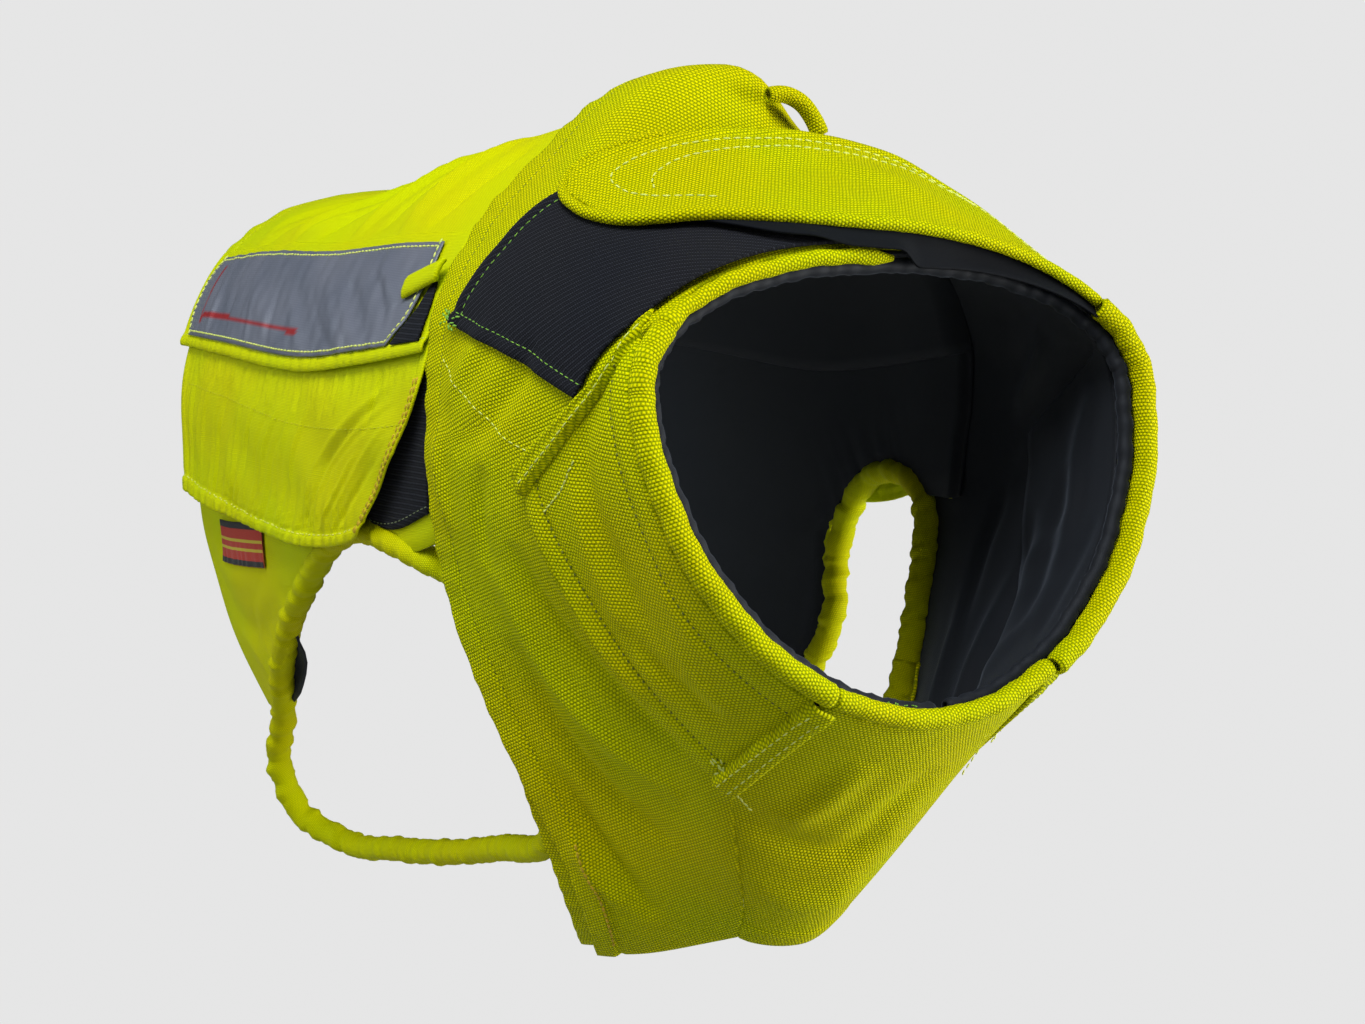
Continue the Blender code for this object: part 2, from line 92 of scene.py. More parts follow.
world = bpy.data.worlds.new("studio")
scene.world = world
world.use_nodes = True
nodes, links = world.node_tree.nodes, world.node_tree.links
air = nodes["Background"]
air.inputs["Color"].default_value = (0.86, 0.93, 1.0, 1)
air.inputs["Strength"].default_value = 0.07
links.new(seen_pale(nodes, links, air, "ShaderNodeBackground"), nodes["World Output"].inputs["Surface"])

floor_mesh = bpy.data.meshes.new("floor")
corners = np.array(((-1, -1), (1, -1), (1, 1), (-1, 1))) * FLOOR_HALF
floor_mesh.from_pydata([(x, y, cad_low[2] - FLOOR_BELOW) for x, y in corners], [], [(0, 1, 2, 3)])
floor = bpy.data.objects.new("floor", floor_mesh)
scene.collection.objects.link(floor)
floor_paint = bpy.data.materials.new("pale_floor")
floor_paint.use_nodes = True
nodes, links = floor_paint.node_tree.nodes, floor_paint.node_tree.links
paint = nodes["Principled BSDF"]
paint.inputs["Base Color"].default_value = (0.42, 0.42, 0.42, 1)
paint.inputs["Roughness"].default_value = 0.9
links.new(seen_pale(nodes, links, paint, "ShaderNodeEmission"), nodes["Material Output"].inputs["Surface"])
floor_mesh.materials.append(floor_paint)

camera = bpy.data.objects.new("camera", bpy.data.cameras.new("camera"))
camera.data.lens, camera.data.sensor_width = 53.0, 36.0
camera.data.clip_start, camera.data.clip_end = 0.01, 200.0
level = math.cos(CAMERA_RISE)
back = np.array([math.sin(CAMERA_TURN) * level, -math.cos(CAMERA_TURN) * level, math.sin(CAMERA_RISE)])
right = np.cross(-back, (0, 0, 1))
right /= np.linalg.norm(right)
axes = np.stack([right, np.cross(back, right), back], 1)
camera.matrix_world = Matrix([[*row, at] for row, at in zip(axes, CAMERA_AT)] + [[0, 0, 0, 1]])
scene.collection.objects.link(camera)
scene.camera = camera


def soft_box(name, place, aim, size, power, color):
    light = bpy.data.lights.new(name, "AREA")
    light.shape, light.size, light.size_y = "RECTANGLE", *size
    light.energy, light.color = power, color
    made = bpy.data.objects.new(name, light)
    made.rotation_euler = (Vector(aim) - Vector(place)).to_track_quat("-Z", "Y").to_euler()
    made.location = place
    scene.collection.objects.link(made)


soft_box("over_back", (-0.60, -0.66, 1.20), (0, 0.0, -0.05), (0.8, 0.8), 25.0, (1.0, 1.0, 0.96))
soft_box("right_rear", (-1.35, 0.72, 0.30), (0, 0.05, -0.12), (0.8, 1.0), 7.0, (0.94, 1.0, 0.93))
soft_box("left_front", (1.20, -1.00, -0.22), (0.03, -0.1, -0.15), (0.7, 0.9), 27.0, (1.0, 0.95, 0.86))
soft_box("front_fill", (-0.75, -1.45, 0.35), (0, 0, -0.15), (1.2, 1.0), 1.0, (1.0, 1.0, 1.0))

# ---- Chest side panels -------------------------------------------------------------------------------------
# The two halves of the chest, nape to breast, in a heavy coated basket weave about 2 mm thick. Each is cut
# in one, turned in at the rear hem, and lies on a body form given by rings round the dog from the neck rim
# to the rear hem.
MM = 0.001
WITHERS = (0.0, 165.0, 133.0)
RING_COLUMNS = (
    "run", "top_y", "top_z", "low_y", "low_z", "half", "widest", "top_square", "low_square", "sweep",
)
RINGS = np.array((
    (0, 22, 77, -19, -79, 105, 0.3, 2.2, 1.9, -4),
    (10, 54, 94, 4, -106, 112, 0.33, 2.25, 1.8, 6),
    (22, 96, 113, 37, -147, 118, 0.36, 2.3, 1.62, 14),
    (34, 140, 125, 75, -187, 120, 0.38, 2.3, 1.64, 28),
    (46, 194, 129, 130, -218, 125, 0.39, 2.4, 2.2, 24),
    (60, 262, 126, 215, -226, 129, 0.4, 2.5, 2.5, 10),
    (80, 360, 117, 356, -220, 131, 0.38, 2.7, 2.6, 0),
    (100, 456, 104, 440, -196, 129, 0.36, 2.8, 2.5, -22),
))
HUMP_HEIGHT, HUMP_RUN, HUMP_AHEAD, HUMP_BEHIND = 24.0, 28.4, 4.2, 11.5
HUMP_ASIDE, HUMP_RIGHT, HUMP_LEFT = 1.5, 26.0, 6.5
STAND_TURN = (0, 56, 68, 104, 114, 125, 180)
STAND_OFF = (3.6, 3.6, 6.2, 6.2, 3.2, 1.8, 1.8)
HEAVY_OUT, HEAVY_WALL = 1.6, 2.0
CHEST_FACE = HEAVY_OUT + HEAVY_WALL


def smooth(places, values, at):
    """A smooth curve through a table's column."""
    slopes = np.gradient(values, places)
    low = np.clip(np.searchsorted(places, at) - 1, 0, len(places) - 2)
    step = places[low + 1] - places[low]
    part = (at - places[low]) / step
    rise = part * part * (3 - 2 * part)
    bends = part * (1 - part) ** 2 * step * slopes[low] - part * part * (1 - part) * step * slopes[low + 1]
    return (1 - rise) * values[low] + rise * values[low + 1] + bends


def turned(turn):
    return (np.asarray(turn, float) + 180) % 360 - 180


def eased(part):
    part = np.clip(part, 0, 1)
    return part * part * (3 - 2 * part)


def before(length, place, fade):
    """1 up to a place, and then falling to 0 over the fade."""
    return 1 - eased((length - place) / fade)


def near(length, place, width):
    """1 at a place, and falling to 0 on both sides of it."""
    return np.exp(-(((length - place) / width) ** 2))


def form(run, turn):
    """Point of the body form. Run is 0 at the neck rim and 100 at the rear hem; turn is from the spine."""
    run, turn = np.broadcast_arrays(np.asarray(run, float), np.asarray(turn, float))
    column = {name: smooth(RINGS[:, 0], RINGS[:, place], run) for place, name in enumerate(RING_COLUMNS)}
    upright, sideways = np.cos(np.radians(turn)), np.sin(np.radians(turn))
    power = np.where(upright >= 0, 2 / column["top_square"], 2 / column["low_square"])
    rise = np.abs(upright) ** power
    above_widest = column["widest"] * (1 - rise)
    down = np.where(upright >= 0, above_widest, column["widest"] + (1 - column["widest"]) * rise)
    x = column["half"] * np.sign(sideways) * np.abs(sideways) ** power
    y = column["top_y"] + (column["low_y"] - column["top_y"]) * down + column["sweep"] * sideways**2
    z = column["top_z"] + (column["low_z"] - column["top_z"]) * down
    length = np.where(run < HUMP_RUN, HUMP_AHEAD, HUMP_BEHIND)
    side = turned(turn) + HUMP_ASIDE
    fall = np.where(side < 0, np.abs(side / HUMP_RIGHT) ** 3.4, (side / HUMP_LEFT) ** 2)
    z = z + HUMP_HEIGHT * np.exp(-(((run - HUMP_RUN) / length) ** 2) - fall)
    return np.stack([x, y, z], -1) - WITHERS


def outward(run, turn):
    """Unit normal of the form, pointing away from the dog."""
    along = form(run + 0.2, turn) - form(run - 0.2, turn)
    normal = np.cross(form(run, turn + 0.6) - form(run, turn - 0.6), along)
    return normal / np.linalg.norm(normal, axis=-1, keepdims=True)


def raised(run, turn, out):
    run, turn = np.broadcast_arrays(np.asarray(run, float), np.asarray(turn, float))
    return form(run, turn) + outward(run, turn) * (np.zeros(run.shape) + out)[..., None]


def stand_off(run, turn):
    """How far the chest's cloth stands off over the back and belly panels at its rear edge."""
    return eased((run - 12.0) / 17.0) * np.interp(np.abs(turned(turn)), STAND_TURN, STAND_OFF)


def lengths_along(path):
    return np.concatenate([[0], np.cumsum(np.linalg.norm(np.diff(path, axis=0), axis=1))])


def even_line(points, count):
    """Smooth line through a few points, sampled at count + 1 even places."""
    points, part = np.array(points, float), np.linspace(0, 1, count + 1)
    if len(points) == 2:
        return points[0] * (1 - part[:, None]) + points[1] * part[:, None]
    length = lengths_along(points)
    return np.stack([smooth(length, column, part * length[-1]) for column in points.T], -1)


def cut_grid(rows, step):
    """(run, turn) grid of a panel at about the given step, from rows that run from fore to rear edge."""
    coarse = np.array([even_line(row, 20) for row in rows])
    flat = form(coarse[..., 0], coarse[..., 1])
    across = np.linalg.norm(np.diff(flat, axis=1), axis=2).sum(1).max()
    down = np.linalg.norm(np.diff(flat, axis=0), axis=2).sum(0).max()
    columns, lines = (4 * max(2, round(length / step / 4)) for length in (across, down))
    rows = np.array([even_line(row, columns) for row in rows])
    return np.stack([even_line(rows[:, place], lines) for place in range(columns + 1)], 1)


def distances(points, places, count):
    """Distance of each point from a line on the form, and the share and the length of the line there."""
    path = even_line(places, count)
    path = form(path[:, 0], path[:, 1])
    far = np.sqrt(((points.reshape(-1, 1, 3) - path[None]) ** 2).sum(-1))
    place = far.argmin(1)
    shape = points.shape[:-1]
    return [found.reshape(shape) for found in (far.min(1), place / count, lengths_along(path)[place])]


def creased(points, creases):
    """Lift of folds: each is a line of (run, turn) places, a width and a height, negative for a trough."""
    lift = np.zeros(points.shape[:-1])
    for places, width, height in creases:
        far, share, _ = distances(points, places, 40)
        part = (far / width) ** 2
        lift += height * np.exp(-part) * (1 - 0.45 * part) * np.sin(np.pi * np.clip(share, 0, 1)) ** 0.7
    return lift


def gathered(points, places, width, height, period, phase):
    """Small puckers that a seam or a hem draws up, strongest on its line."""
    far, share, length = distances(points, places, 160)
    drift = 1.4 * np.sin(2 * np.pi * length / (3.7 * period) + phase)
    wave = np.sin(2 * np.pi * length / period + phase + drift)
    return height * wave * near(far, 0, width) * np.sin(np.pi * np.clip(share, 0, 1)) ** 0.3


def uneven(points, size, height, seed):
    """Low, wide unevenness that soft cloth has everywhere."""
    chance = np.random.default_rng(seed)
    lift = np.zeros(points.shape[:-1])
    for _ in range(6):
        way = chance.normal(size=3)
        way *= 2 * np.pi / (size * chance.uniform(0.7, 1.5) * np.linalg.norm(way))
        lift += np.sin(points @ way + chance.uniform(0, 6.3))
    return lift * height / 2.4


CHEST_CREASES = (
    (((23.5, -108), (24, -119), (22.4, -129), (19.8, -141)), 6.8, -4.62),
    (((27.2, -110), (28.4, -122), (27, -133), (24.6, -145)), 7.6, 3.99),
    (((31, -118), (32.4, -129), (31.8, -139), (30, -149)), 7.2, -3.78),
    (((35.4, -131), (36.6, -140), (37.2, -147), (38.2, -155)), 5.6, -4.2),
    (((38.4, -138), (39.4, -145), (39.6, -151)), 4, 2.73),
    (((18.4, -104), (19.4, -113), (18.9, -122), (18, -133)), 5.6, 3.15),
    (((14.5, -76), (18, -84), (22.5, -90), (28, -94)), 7.2, -3.15),
    (((21, -72), (25, -80), (28.5, -86)), 6.4, 2.52),
    (((24, -97), (26.5, -103), (28.5, -110)), 5.6, -2.73),
    (((29.6, -88), (31, -96), (32, -104)), 4.8, 2.52),
    (((19.6, -149), (21, -160), (20.6, -172), (18.6, -186)), 8.8, -2.73),
    (((25.6, -151), (27.6, -162), (27.4, -174), (25, -188)), 10.4, 1.68),
    (((22, 120), (24.5, 130), (26, 142), (28, 152)), 7.2, -4.41),
    (((17.6, 112), (20, 124), (20.5, 136)), 6.4, 3.36),
    (((30, 118), (31, 130), (32.4, 141), (35, 151)), 6.8, -3.57),
    (((25.5, 106), (28, 114), (29.5, 124)), 6, 2.94),
    (((14, 78), (19, 86), (24.5, 92)), 7.2, -3.36),
    (((36, 134), (37.5, 143), (40, 152)), 5.2, 3.15),
    (((24, 40), (26.5, 50), (27, 62)), 8, 3.15),
    (((10, 172), (16, 180), (22, 186)), 8.8, -2.73),
    (((8, 192), (14.5, 196), (20, 202)), 7.2, 2.52),
)
INSERT_CREASES = (
    (((3.4, -84), (8.4, -97), (10, -108), (10.2, -119), (11, -129)), 6.5, -2.55),
    (((10.6, -102), (13, -112), (14, -124), (15.6, -136)), 6, 1.8),
    (((14.2, -122), (12.6, -133), (11.4, -142)), 5.5, -2.25),
    (((2, -108), (4.4, -120), (6.4, -132), (8.6, -142)), 7, 1.35),
    (((7.6, -126), (9.2, -135), (9.6, -143)), 5, 1.65),
    (((5.6, 90), (9, 104), (9.6, 118), (12, 132)), 6.5, -2.4),
    (((11, 106), (13.6, 120), (14.8, 134)), 6, 1.8),
    (((4, 116), (7, 128), (9, 140)), 6.5, 1.5),
)


def chest_lift(run, turn):
    """Stand-off and folds that the chest's layers share. The folds fade at the neck rim and over the nape."""
    base = form(run, turn)
    folds = creased(base, CHEST_CREASES) + creased(base, INSERT_CREASES) + uneven(base, 70, 0.8, 5)
    beside_nape = 0.35 + 0.65 * eased((np.abs(turned(turn)) - 50) / 30)
    return stand_off(run, turn) + folds * eased((run - 1.0) / 5.0) * beside_nape


def reach_from(points):
    """Length along the sheet from its first row, last row, fore edge and rear edge, in millimetres."""
    down = np.linalg.norm(np.diff(points, axis=0), axis=2)
    down = np.concatenate([np.zeros((1, points.shape[1])), np.cumsum(down, 0)])
    across = np.linalg.norm(np.diff(points, axis=1), axis=2)
    across = np.concatenate([np.zeros((points.shape[0], 1)), np.cumsum(across, 1)], 1)
    return {"first": down, "last": down[-1] - down, "fore": across, "rear": across[:, -1:] - across}


def reach_on(grid, out):
    return reach_from(raised(grid[..., 0], grid[..., 1], out))


def cells(rows, columns):
    """The four corners of each cell of a grid."""
    index = np.arange(rows * columns).reshape(rows, columns)
    return np.stack([index[:-1, :-1], index[:-1, 1:], index[1:, 1:], index[1:, :-1]], -1)


def corner_of_loops(mesh):
    loops = np.zeros(len(mesh.loops), int)
    mesh.loops.foreach_get("vertex_index", loops)
    return loops


def flattened(points, kept, grain):
    """The cut of a curved sheet, laid flat in metres with the given direction upright."""
    every = 4
    small = points[::every, ::every] * MM
    rows, columns = small.shape[:2]
    used, faces = np.unique(cells(rows, columns)[kept[::every, ::every]], return_inverse=True)
    faces = faces.reshape(-1, 4)
    corners = small.reshape(-1, 3)[used]
    mesh = bpy.data.meshes.new("cut")
    mesh.from_pydata(corners.tolist(), [], faces.tolist())
    mesh.uv_layers.new(name="cut")
    laid = bpy.data.objects.new("cut", mesh)
    scene.collection.objects.link(laid)
    bpy.context.view_layer.objects.active = laid
    laid.select_set(True)
    bpy.ops.object.mode_set(mode="EDIT")
    bpy.ops.mesh.select_all(action="SELECT")
    bpy.ops.uv.unwrap(method="ANGLE_BASED", margin=0.0)
    bpy.ops.object.mode_set(mode="OBJECT")
    places = np.zeros(2 * len(mesh.loops))
    mesh.uv_layers[0].uv.foreach_get("vector", places)
    flat = np.zeros((len(corners), 2))
    flat[corner_of_loops(mesh)] = places.reshape(-1, 2)
    bpy.data.objects.remove(laid)
    bpy.data.meshes.remove(mesh)

    def area(where):
        one, two = where[faces[:, 2]] - where[faces[:, 0]], where[faces[:, 3]] - where[faces[:, 1]]
        if where.shape[1] == 2:
            return np.abs(one[:, 0] * two[:, 1] - one[:, 1] * two[:, 0]).sum() / 2
        return np.linalg.norm(np.cross(one, two), axis=1).sum() / 2

    true_area = area(corners)
    flat *= math.sqrt(true_area / area(flat))
    along_grain = corners @ np.array(grain, float)
    slope = np.linalg.lstsq(np.c_[flat, np.ones(len(flat))], along_grain, rcond=None)[0][:2]
    slope /= np.linalg.norm(slope)
    flat = flat @ np.array([[slope[1], slope[0]], [-slope[0], slope[1]]])
    flat -= flat.min(0)
    grid = np.zeros((rows * columns, 2))
    grid[used] = flat
    grid = grid.reshape(rows, columns, 2)
    down, across = np.linspace(0, rows - 1, points.shape[0]), np.linspace(0, columns - 1, points.shape[1])
    low, left = np.minimum(down.astype(int), rows - 2), np.minimum(across.astype(int), columns - 2)
    part, share = (down - low)[:, None, None], (across - left)[None, :, None]
    lines = grid[:, left] * (1 - share) + grid[:, left + 1] * share
    return lines[low] * (1 - part) + lines[low + 1] * part, flat.max(0), true_area


def write_mesh(name, corners, faces, flat, material):
    """Closed smooth mesh in metres, with its place on the cut as its UV map."""
    mesh = bpy.data.meshes.new(name)
    mesh.from_pydata((corners * MM).tolist(), [], faces.tolist())
    mesh.uv_layers.new(name="cut").uv.foreach_set("vector", flat[corner_of_loops(mesh)].ravel())
    mesh.shade_smooth()
    mesh.materials.append(material)
    made = bpy.data.objects.new(name + "_cloth", mesh)
    scene.collection.objects.link(made)
    return made


LEAST_WIDTH, LEAST_SHARE = 0.0101, 0.301


def finish_piece(node, piece, size, area):
    """Attaches a piece of cloth to the root and hides the solid it stands for. The cut's size and area are
    worked out but not used.
    """
    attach(piece, "root")
    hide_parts(node)
    flat = tuple(max(LEAST_WIDTH, float(length)) for length in size)
    area = min(1.0, max(LEAST_SHARE, area / (flat[0] * flat[1]))) * flat[0] * flat[1]


def sheet_of_cloth(name, grid, out, wall, lift, material, grain=(0, 0, 1), kept=None):
    """Closed sheet of cloth with a rounded edge on a (run, turn) grid. It gives the sheet's outer face."""
    inner, outer = (raised(grid[..., 0], grid[..., 1], far + lift) for far in (out, out + wall))
    rows, columns = grid.shape[:2]
    kept = np.ones((rows - 1, columns - 1), bool) if kept is None else kept
    flat, size, area = flattened(outer, kept, grain)
    quads = cells(rows, columns)[kept]
    low, high, flat = inner.reshape(-1, 3), outer.reshape(-1, 3), flat.reshape(-1, 2)
    a, b, c = (high[quads[:, place]] for place in (0, 1, 2))
    if (np.cross(b - a, c - a) * (high - low)[quads[:, 0]]).sum() < 0:
        quads = quads[:, ::-1]
    ends = np.concatenate([quads[:, [place, (place + 1) % 4]] for place in range(4)])
    key = ends.min(1) * rows * columns + ends.max(1)
    _, first, uses = np.unique(key, return_index=True, return_counts=True)
    border = ends[first[uses == 1]]
    side = np.cross(high[border[:, 1]] - high[border[:, 0]], (high - low)[border[:, 0]])
    side /= np.maximum(np.linalg.norm(side, axis=1, keepdims=True), 1e-9)
    sum_side = np.zeros_like(high)
    for end in (0, 1):
        np.add.at(sum_side, border[:, end], side)
    rim, place = np.unique(border, return_inverse=True)
    place = place.reshape(-1, 2)
    sum_side = sum_side[rim] / np.maximum(np.linalg.norm(sum_side[rim], axis=1, keepdims=True), 1e-9)
    half = np.linalg.norm(high[rim] - low[rim], axis=1, keepdims=True) / 2
    middle = (low[rim] + high[rim]) / 2 + sum_side * half * 0.9
    count = rows * columns
    corners = np.concatenate([low, high, middle])
    h, t = border.T
    mh, mt = 2 * count + place.T
    rounded = [np.stack([t + count, h + count, mh, mt], 1), np.stack([mt, mh, h, t], 1)]
    faces = np.concatenate([quads + count, quads[:, ::-1], *rounded])
    used, faces = np.unique(faces, return_inverse=True)
    flat = np.concatenate([flat, flat, flat[rim]])[used]
    piece = write_mesh(name, corners[used], faces.reshape(-1, 4), flat, material)
    finish_piece(name, piece, size, area)
    return outer


def wire(tree, kind, inputs=(), **settings):
    """A node with its settings and inputs; an input is a number or another node's socket."""
    node = tree.nodes.new(kind)
    for name, value in settings.items():
        setattr(node, name, value)
    for name, value in dict(inputs).items():
        if isinstance(value, bpy.types.NodeSocket):
            tree.links.new(value, node.inputs[name])
        else:
            node.inputs[name].default_value = value
    return node


def math_node(tree, operation, *values):
    return wire(tree, "ShaderNodeMath", enumerate(values), operation=operation).outputs[0]


def vector_math(tree, operation, inputs):
    return wire(tree, "ShaderNodeVectorMath", inputs, operation=operation).outputs[0]


def new_group(name, inputs, outputs, kind="ShaderNodeTree"):
    tree = bpy.data.node_groups.new(name, kind)
    for label, socket_kind, value in inputs:
        socket = tree.interface.new_socket(label, in_out="INPUT", socket_type="NodeSocket" + socket_kind)
        if value is not None:
            socket.default_value = value
    for label, socket_kind in outputs:
        tree.interface.new_socket(label, in_out="OUTPUT", socket_type="NodeSocket" + socket_kind)
    return tree, tree.nodes.new("NodeGroupInput").outputs, tree.nodes.new("NodeGroupOutput").inputs


# Weave: rows of oval humps, each row half a hump over from the last, with the thread's own unevenness.
weave, given, result = new_group(
    "woven_humps",
    (
        ("Cut", "Vector", None),
        ("Pitch across", "Float", 0.00127),
        ("Pitch up", "Float", 0.00120),
        ("Wander", "Float", 0.0003),
        ("Thread", "Color", (0.8, 0.8, 0, 1)),
        ("Hollow", "Color", (0.4, 0.45, 0, 1)),
        ("Blend", "Float", 1.0),
        ("Rib", "Float", 0.0),
    ),
    (("Color", "Color"), ("Height", "Float")),
)
place = wire(weave, "ShaderNodeTexCoord").outputs["Object"]
drift = wire(weave, "ShaderNodeTexNoise", {"Vector": place, "Scale": 60.0, "Detail": 1.0}).outputs["Color"]
drift = vector_math(weave, "SUBTRACT", {0: drift, 1: (0.5, 0.5, 0.5)})
drift = vector_math(weave, "SCALE", {0: drift, "Scale": given["Wander"]})
drift = vector_math(weave, "ADD", {0: given["Cut"], 1: drift})
split = wire(weave, "ShaderNodeSeparateXYZ", {"Vector": drift}).outputs
across = math_node(weave, "DIVIDE", split["X"], given["Pitch across"])
upward = math_node(weave, "DIVIDE", split["Y"], given["Pitch up"])
second = math_node(weave, "FLOORED_MODULO", math_node(weave, "FLOOR", upward), 2.0)
shifted = math_node(weave, "ADD", across, math_node(weave, "MULTIPLY", second, 0.5))
wave_across, wave_up = (
    math_node(weave, "ABSOLUTE", math_node(weave, "SINE", math_node(weave, "MULTIPLY", count, math.pi)))
    for count in (shifted, upward)
)
hump = math_node(weave, "POWER", math_node(weave, "MULTIPLY", wave_across, wave_up), 0.85)
lowered = math_node(weave, "SUBTRACT", 1.0, math_node(weave, "MULTIPLY", second, given["Rib"]))
hump = math_node(weave, "MULTIPLY", hump, lowered)
blotch = wire(weave, "ShaderNodeTexNoise", {"Vector": place, "Scale": 900.0, "Detail": 2.0}).outputs["Fac"]
blotch = math_node(weave, "ADD", math_node(weave, "MULTIPLY", blotch, 0.6), 0.7)
hump = math_node(weave, "MULTIPLY", hump, blotch)
# The hollow colour darkens the cloth between the humps: painted shade in the weave's hollows, on top of the
# bump's own shading.
shade = math_node(weave, "MULTIPLY", math_node(weave, "SUBTRACT", 1.0, hump), given["Blend"])
shade = math_node(weave, "SUBTRACT", 1.0, shade)
tint = {"Factor": shade, 6: given["Hollow"], 7: given["Thread"]}
tint = wire(weave, "ShaderNodeMix", tint, data_type="RGBA", clamp_factor=True).outputs[2]
weave.links.new(tint, result["Color"])
weave.links.new(hump, result["Height"])

# Fading: cloth is a little greener in some places and warmer in others.
fading, given, result = new_group(
    "faded_dye",
    (
        ("Color", "Color", (1, 1, 1, 1)),
        ("Size", "Float", 12.0),
        ("Green", "Color", (0.9, 1, 1, 1)),
        ("Warm", "Color", (1, 0.92, 1, 1)),
    ),
    (("Color", "Color"),),
)
place = wire(fading, "ShaderNodeTexCoord").outputs["Object"]
cloud = {"Vector": place, "Scale": given["Size"], "Detail": 3.0}
cloud = wire(fading, "ShaderNodeTexNoise", cloud).outputs["Fac"]
cloud = wire(fading, "ShaderNodeMapRange", {"Value": cloud, "From Min": 0.32, "From Max": 0.68}).outputs[0]
tone = {"Factor": cloud, 6: given["Green"], 7: given["Warm"]}
tone = wire(fading, "ShaderNodeMix", tone, data_type="RGBA").outputs[2]
dyed = {"Factor": 1.0, 6: given["Color"], 7: tone}
dyed = wire(fading, "ShaderNodeMix", dyed, data_type="RGBA", blend_type="MULTIPLY").outputs[2]
fading.links.new(dyed, result["Color"])


def new_material(name, roughness, specular, tint, sheen=0.0, sheen_tint=(1, 1, 1)):
    made = bpy.data.materials.new(name)
    made.use_nodes = True
    shader = made.node_tree.nodes["Principled BSDF"]
    for label, value in (
        ("Roughness", roughness),
        ("Specular IOR Level", specular),
        ("Specular Tint", (*tint, 1)),
        ("Sheen Weight", sheen),
        ("Sheen Tint", (*sheen_tint, 1)),
        ("Sheen Roughness", 0.45),
    ):
        shader.inputs[label].default_value = value
    return made, made.node_tree, shader


def group_node(tree, group, **values):
    """One of the shared groups in a material, with its inputs set."""
    node = wire(tree, "ShaderNodeGroup", node_tree=group)
    for label, value in values.items():
        node.inputs[label.replace("_", " ")].default_value = value
    return node


def emboss(tree, shader, cloth, depth):
    """Lays the weave on the piece's own cut and gives it a depth in millimetres."""
    tree.links.new(wire(tree, "ShaderNodeUVMap", uv_map="cut").outputs[0], cloth.inputs["Cut"])
    relief = {"Height": cloth.outputs["Height"], "Strength": 1.0, "Distance": depth * MM}
    tree.links.new(wire(tree, "ShaderNodeBump", relief).outputs[0], shader.inputs["Normal"])


# How many clouds of fading there are to the metre, and the greener and the warmer tone.
FADED = (12.0, (0.90, 1.0, 1), (1.0, 0.93, 1))


def woven(name, pitch, thread, hollow, wander, depth, blend=1.0, rib=0.0, faded=FADED, **finish):
    """Cloth material: the weave on the piece's own cut, its sizes in millimetres, with faded dye."""
    made, tree, shader = new_material(name, **finish)
    cloth = group_node(tree, weave, Pitch_across=pitch[0] * MM, Pitch_up=pitch[1] * MM, Wander=wander * MM)
    for label, value in (("Thread", (*thread, 1)), ("Hollow", (*hollow, 1)), ("Blend", blend), ("Rib", rib)):
        cloth.inputs[label].default_value = value
    emboss(tree, shader, cloth, depth)
    dye = group_node(tree, fading, Size=faded[0], Green=(*faded[1], 1), Warm=(*faded[2], 1))
    tree.links.new(cloth.outputs["Color"], dye.inputs["Color"])
    tree.links.new(dye.outputs[0], shader.inputs["Base Color"])
    return made


YELLOW_TINT = (1.0, 0.94, 0.12)
heavy_weave = woven(
    "heavy_weave", (1.5, 1.3), thread=(0.96, 0.90, 0.0), hollow=(0.24, 0.30, 0.0), wander=0.30, depth=0.42,
    rib=0.1, roughness=0.62, specular=0.10, tint=YELLOW_TINT,
)

SIDE_ROWS = (
    ((1.5, 28), (35, 28)),
    ((1.5, 10), (35, 10)),
    ((1.5, -8), (35.2, -8)),
    ((1.5, -26), (35.2, -25)),
    ((1.5, -44), (34.6, -42)),
    ((1.2, -60), (33.2, -58)),
    ((3.4, -84), (18, -78), (32.3, -72)),
    ((13, -95), (23, -90), (32.3, -86)),
    ((17.2, -105), (33.8, -98)),
    ((17.4, -119), (36.6, -110)),
    ((17.4, -133), (38, -121)),
    ((18, -147), (39.2, -133)),
    ((24, -154), (41.4, -144)),
    ((29.5, -160), (43.8, -151)),
    ((35.3, -166), (46.6, -157)),
)
LEFT_FROM = 5
LEFT_REAR = {8: (38.6, -98), 9: (40.3, -110), 10: (40.2, -121), 11: (39.9, -133)}
LEFT_TOP_ROWS = (((1.5, 28.3), (35.1, 28.3)), ((1.5, 45), (34.8, 44)))
CHEST_HEM, CHEST_STEP = (11.0, 0.5), 2.1


def hemmed(reach, edges, width, height):
    """Doubled cloth along a sheet's edges, with the dip of the stitching where the doubling ends."""
    lift = 0
    for edge in edges:
        lift = np.maximum(lift, height * before(reach[edge], width - 1.2, 2.4))
        lift = lift - 0.55 * height * near(reach[edge], width + 0.6, 1.5)
    return lift


left_rows = [(*row[:-1], LEFT_REAR.get(place, row[-1])) for place, row in enumerate(SIDE_ROWS)][LEFT_FROM:]
left_rows = [*LEFT_TOP_ROWS, *(tuple((run, -turn) for run, turn in row) for row in left_rows)]
faces = {}
for side, rows in (("right", SIDE_ROWS), ("left", left_rows)):
    grid = cut_grid(rows, CHEST_STEP)
    run, turn = grid[..., 0], grid[..., 1]
    low_down = eased((np.abs(turned(turn)) - 114) / 12)
    hem = hemmed(reach_on(grid, CHEST_FACE), ("rear",), *CHEST_HEM) * (1 + 1.6 * low_down)
    hem = hem + gathered(form(run, turn), grid[::12, -1], 9.0, 0.45, 17.0, 0.4)
    lift = chest_lift(run, turn) + hem
    node = "side_panel_" + side
    face = sheet_of_cloth(node, grid, HEAVY_OUT, HEAVY_WALL, lift, heavy_weave)
    faces["side_" + side] = face

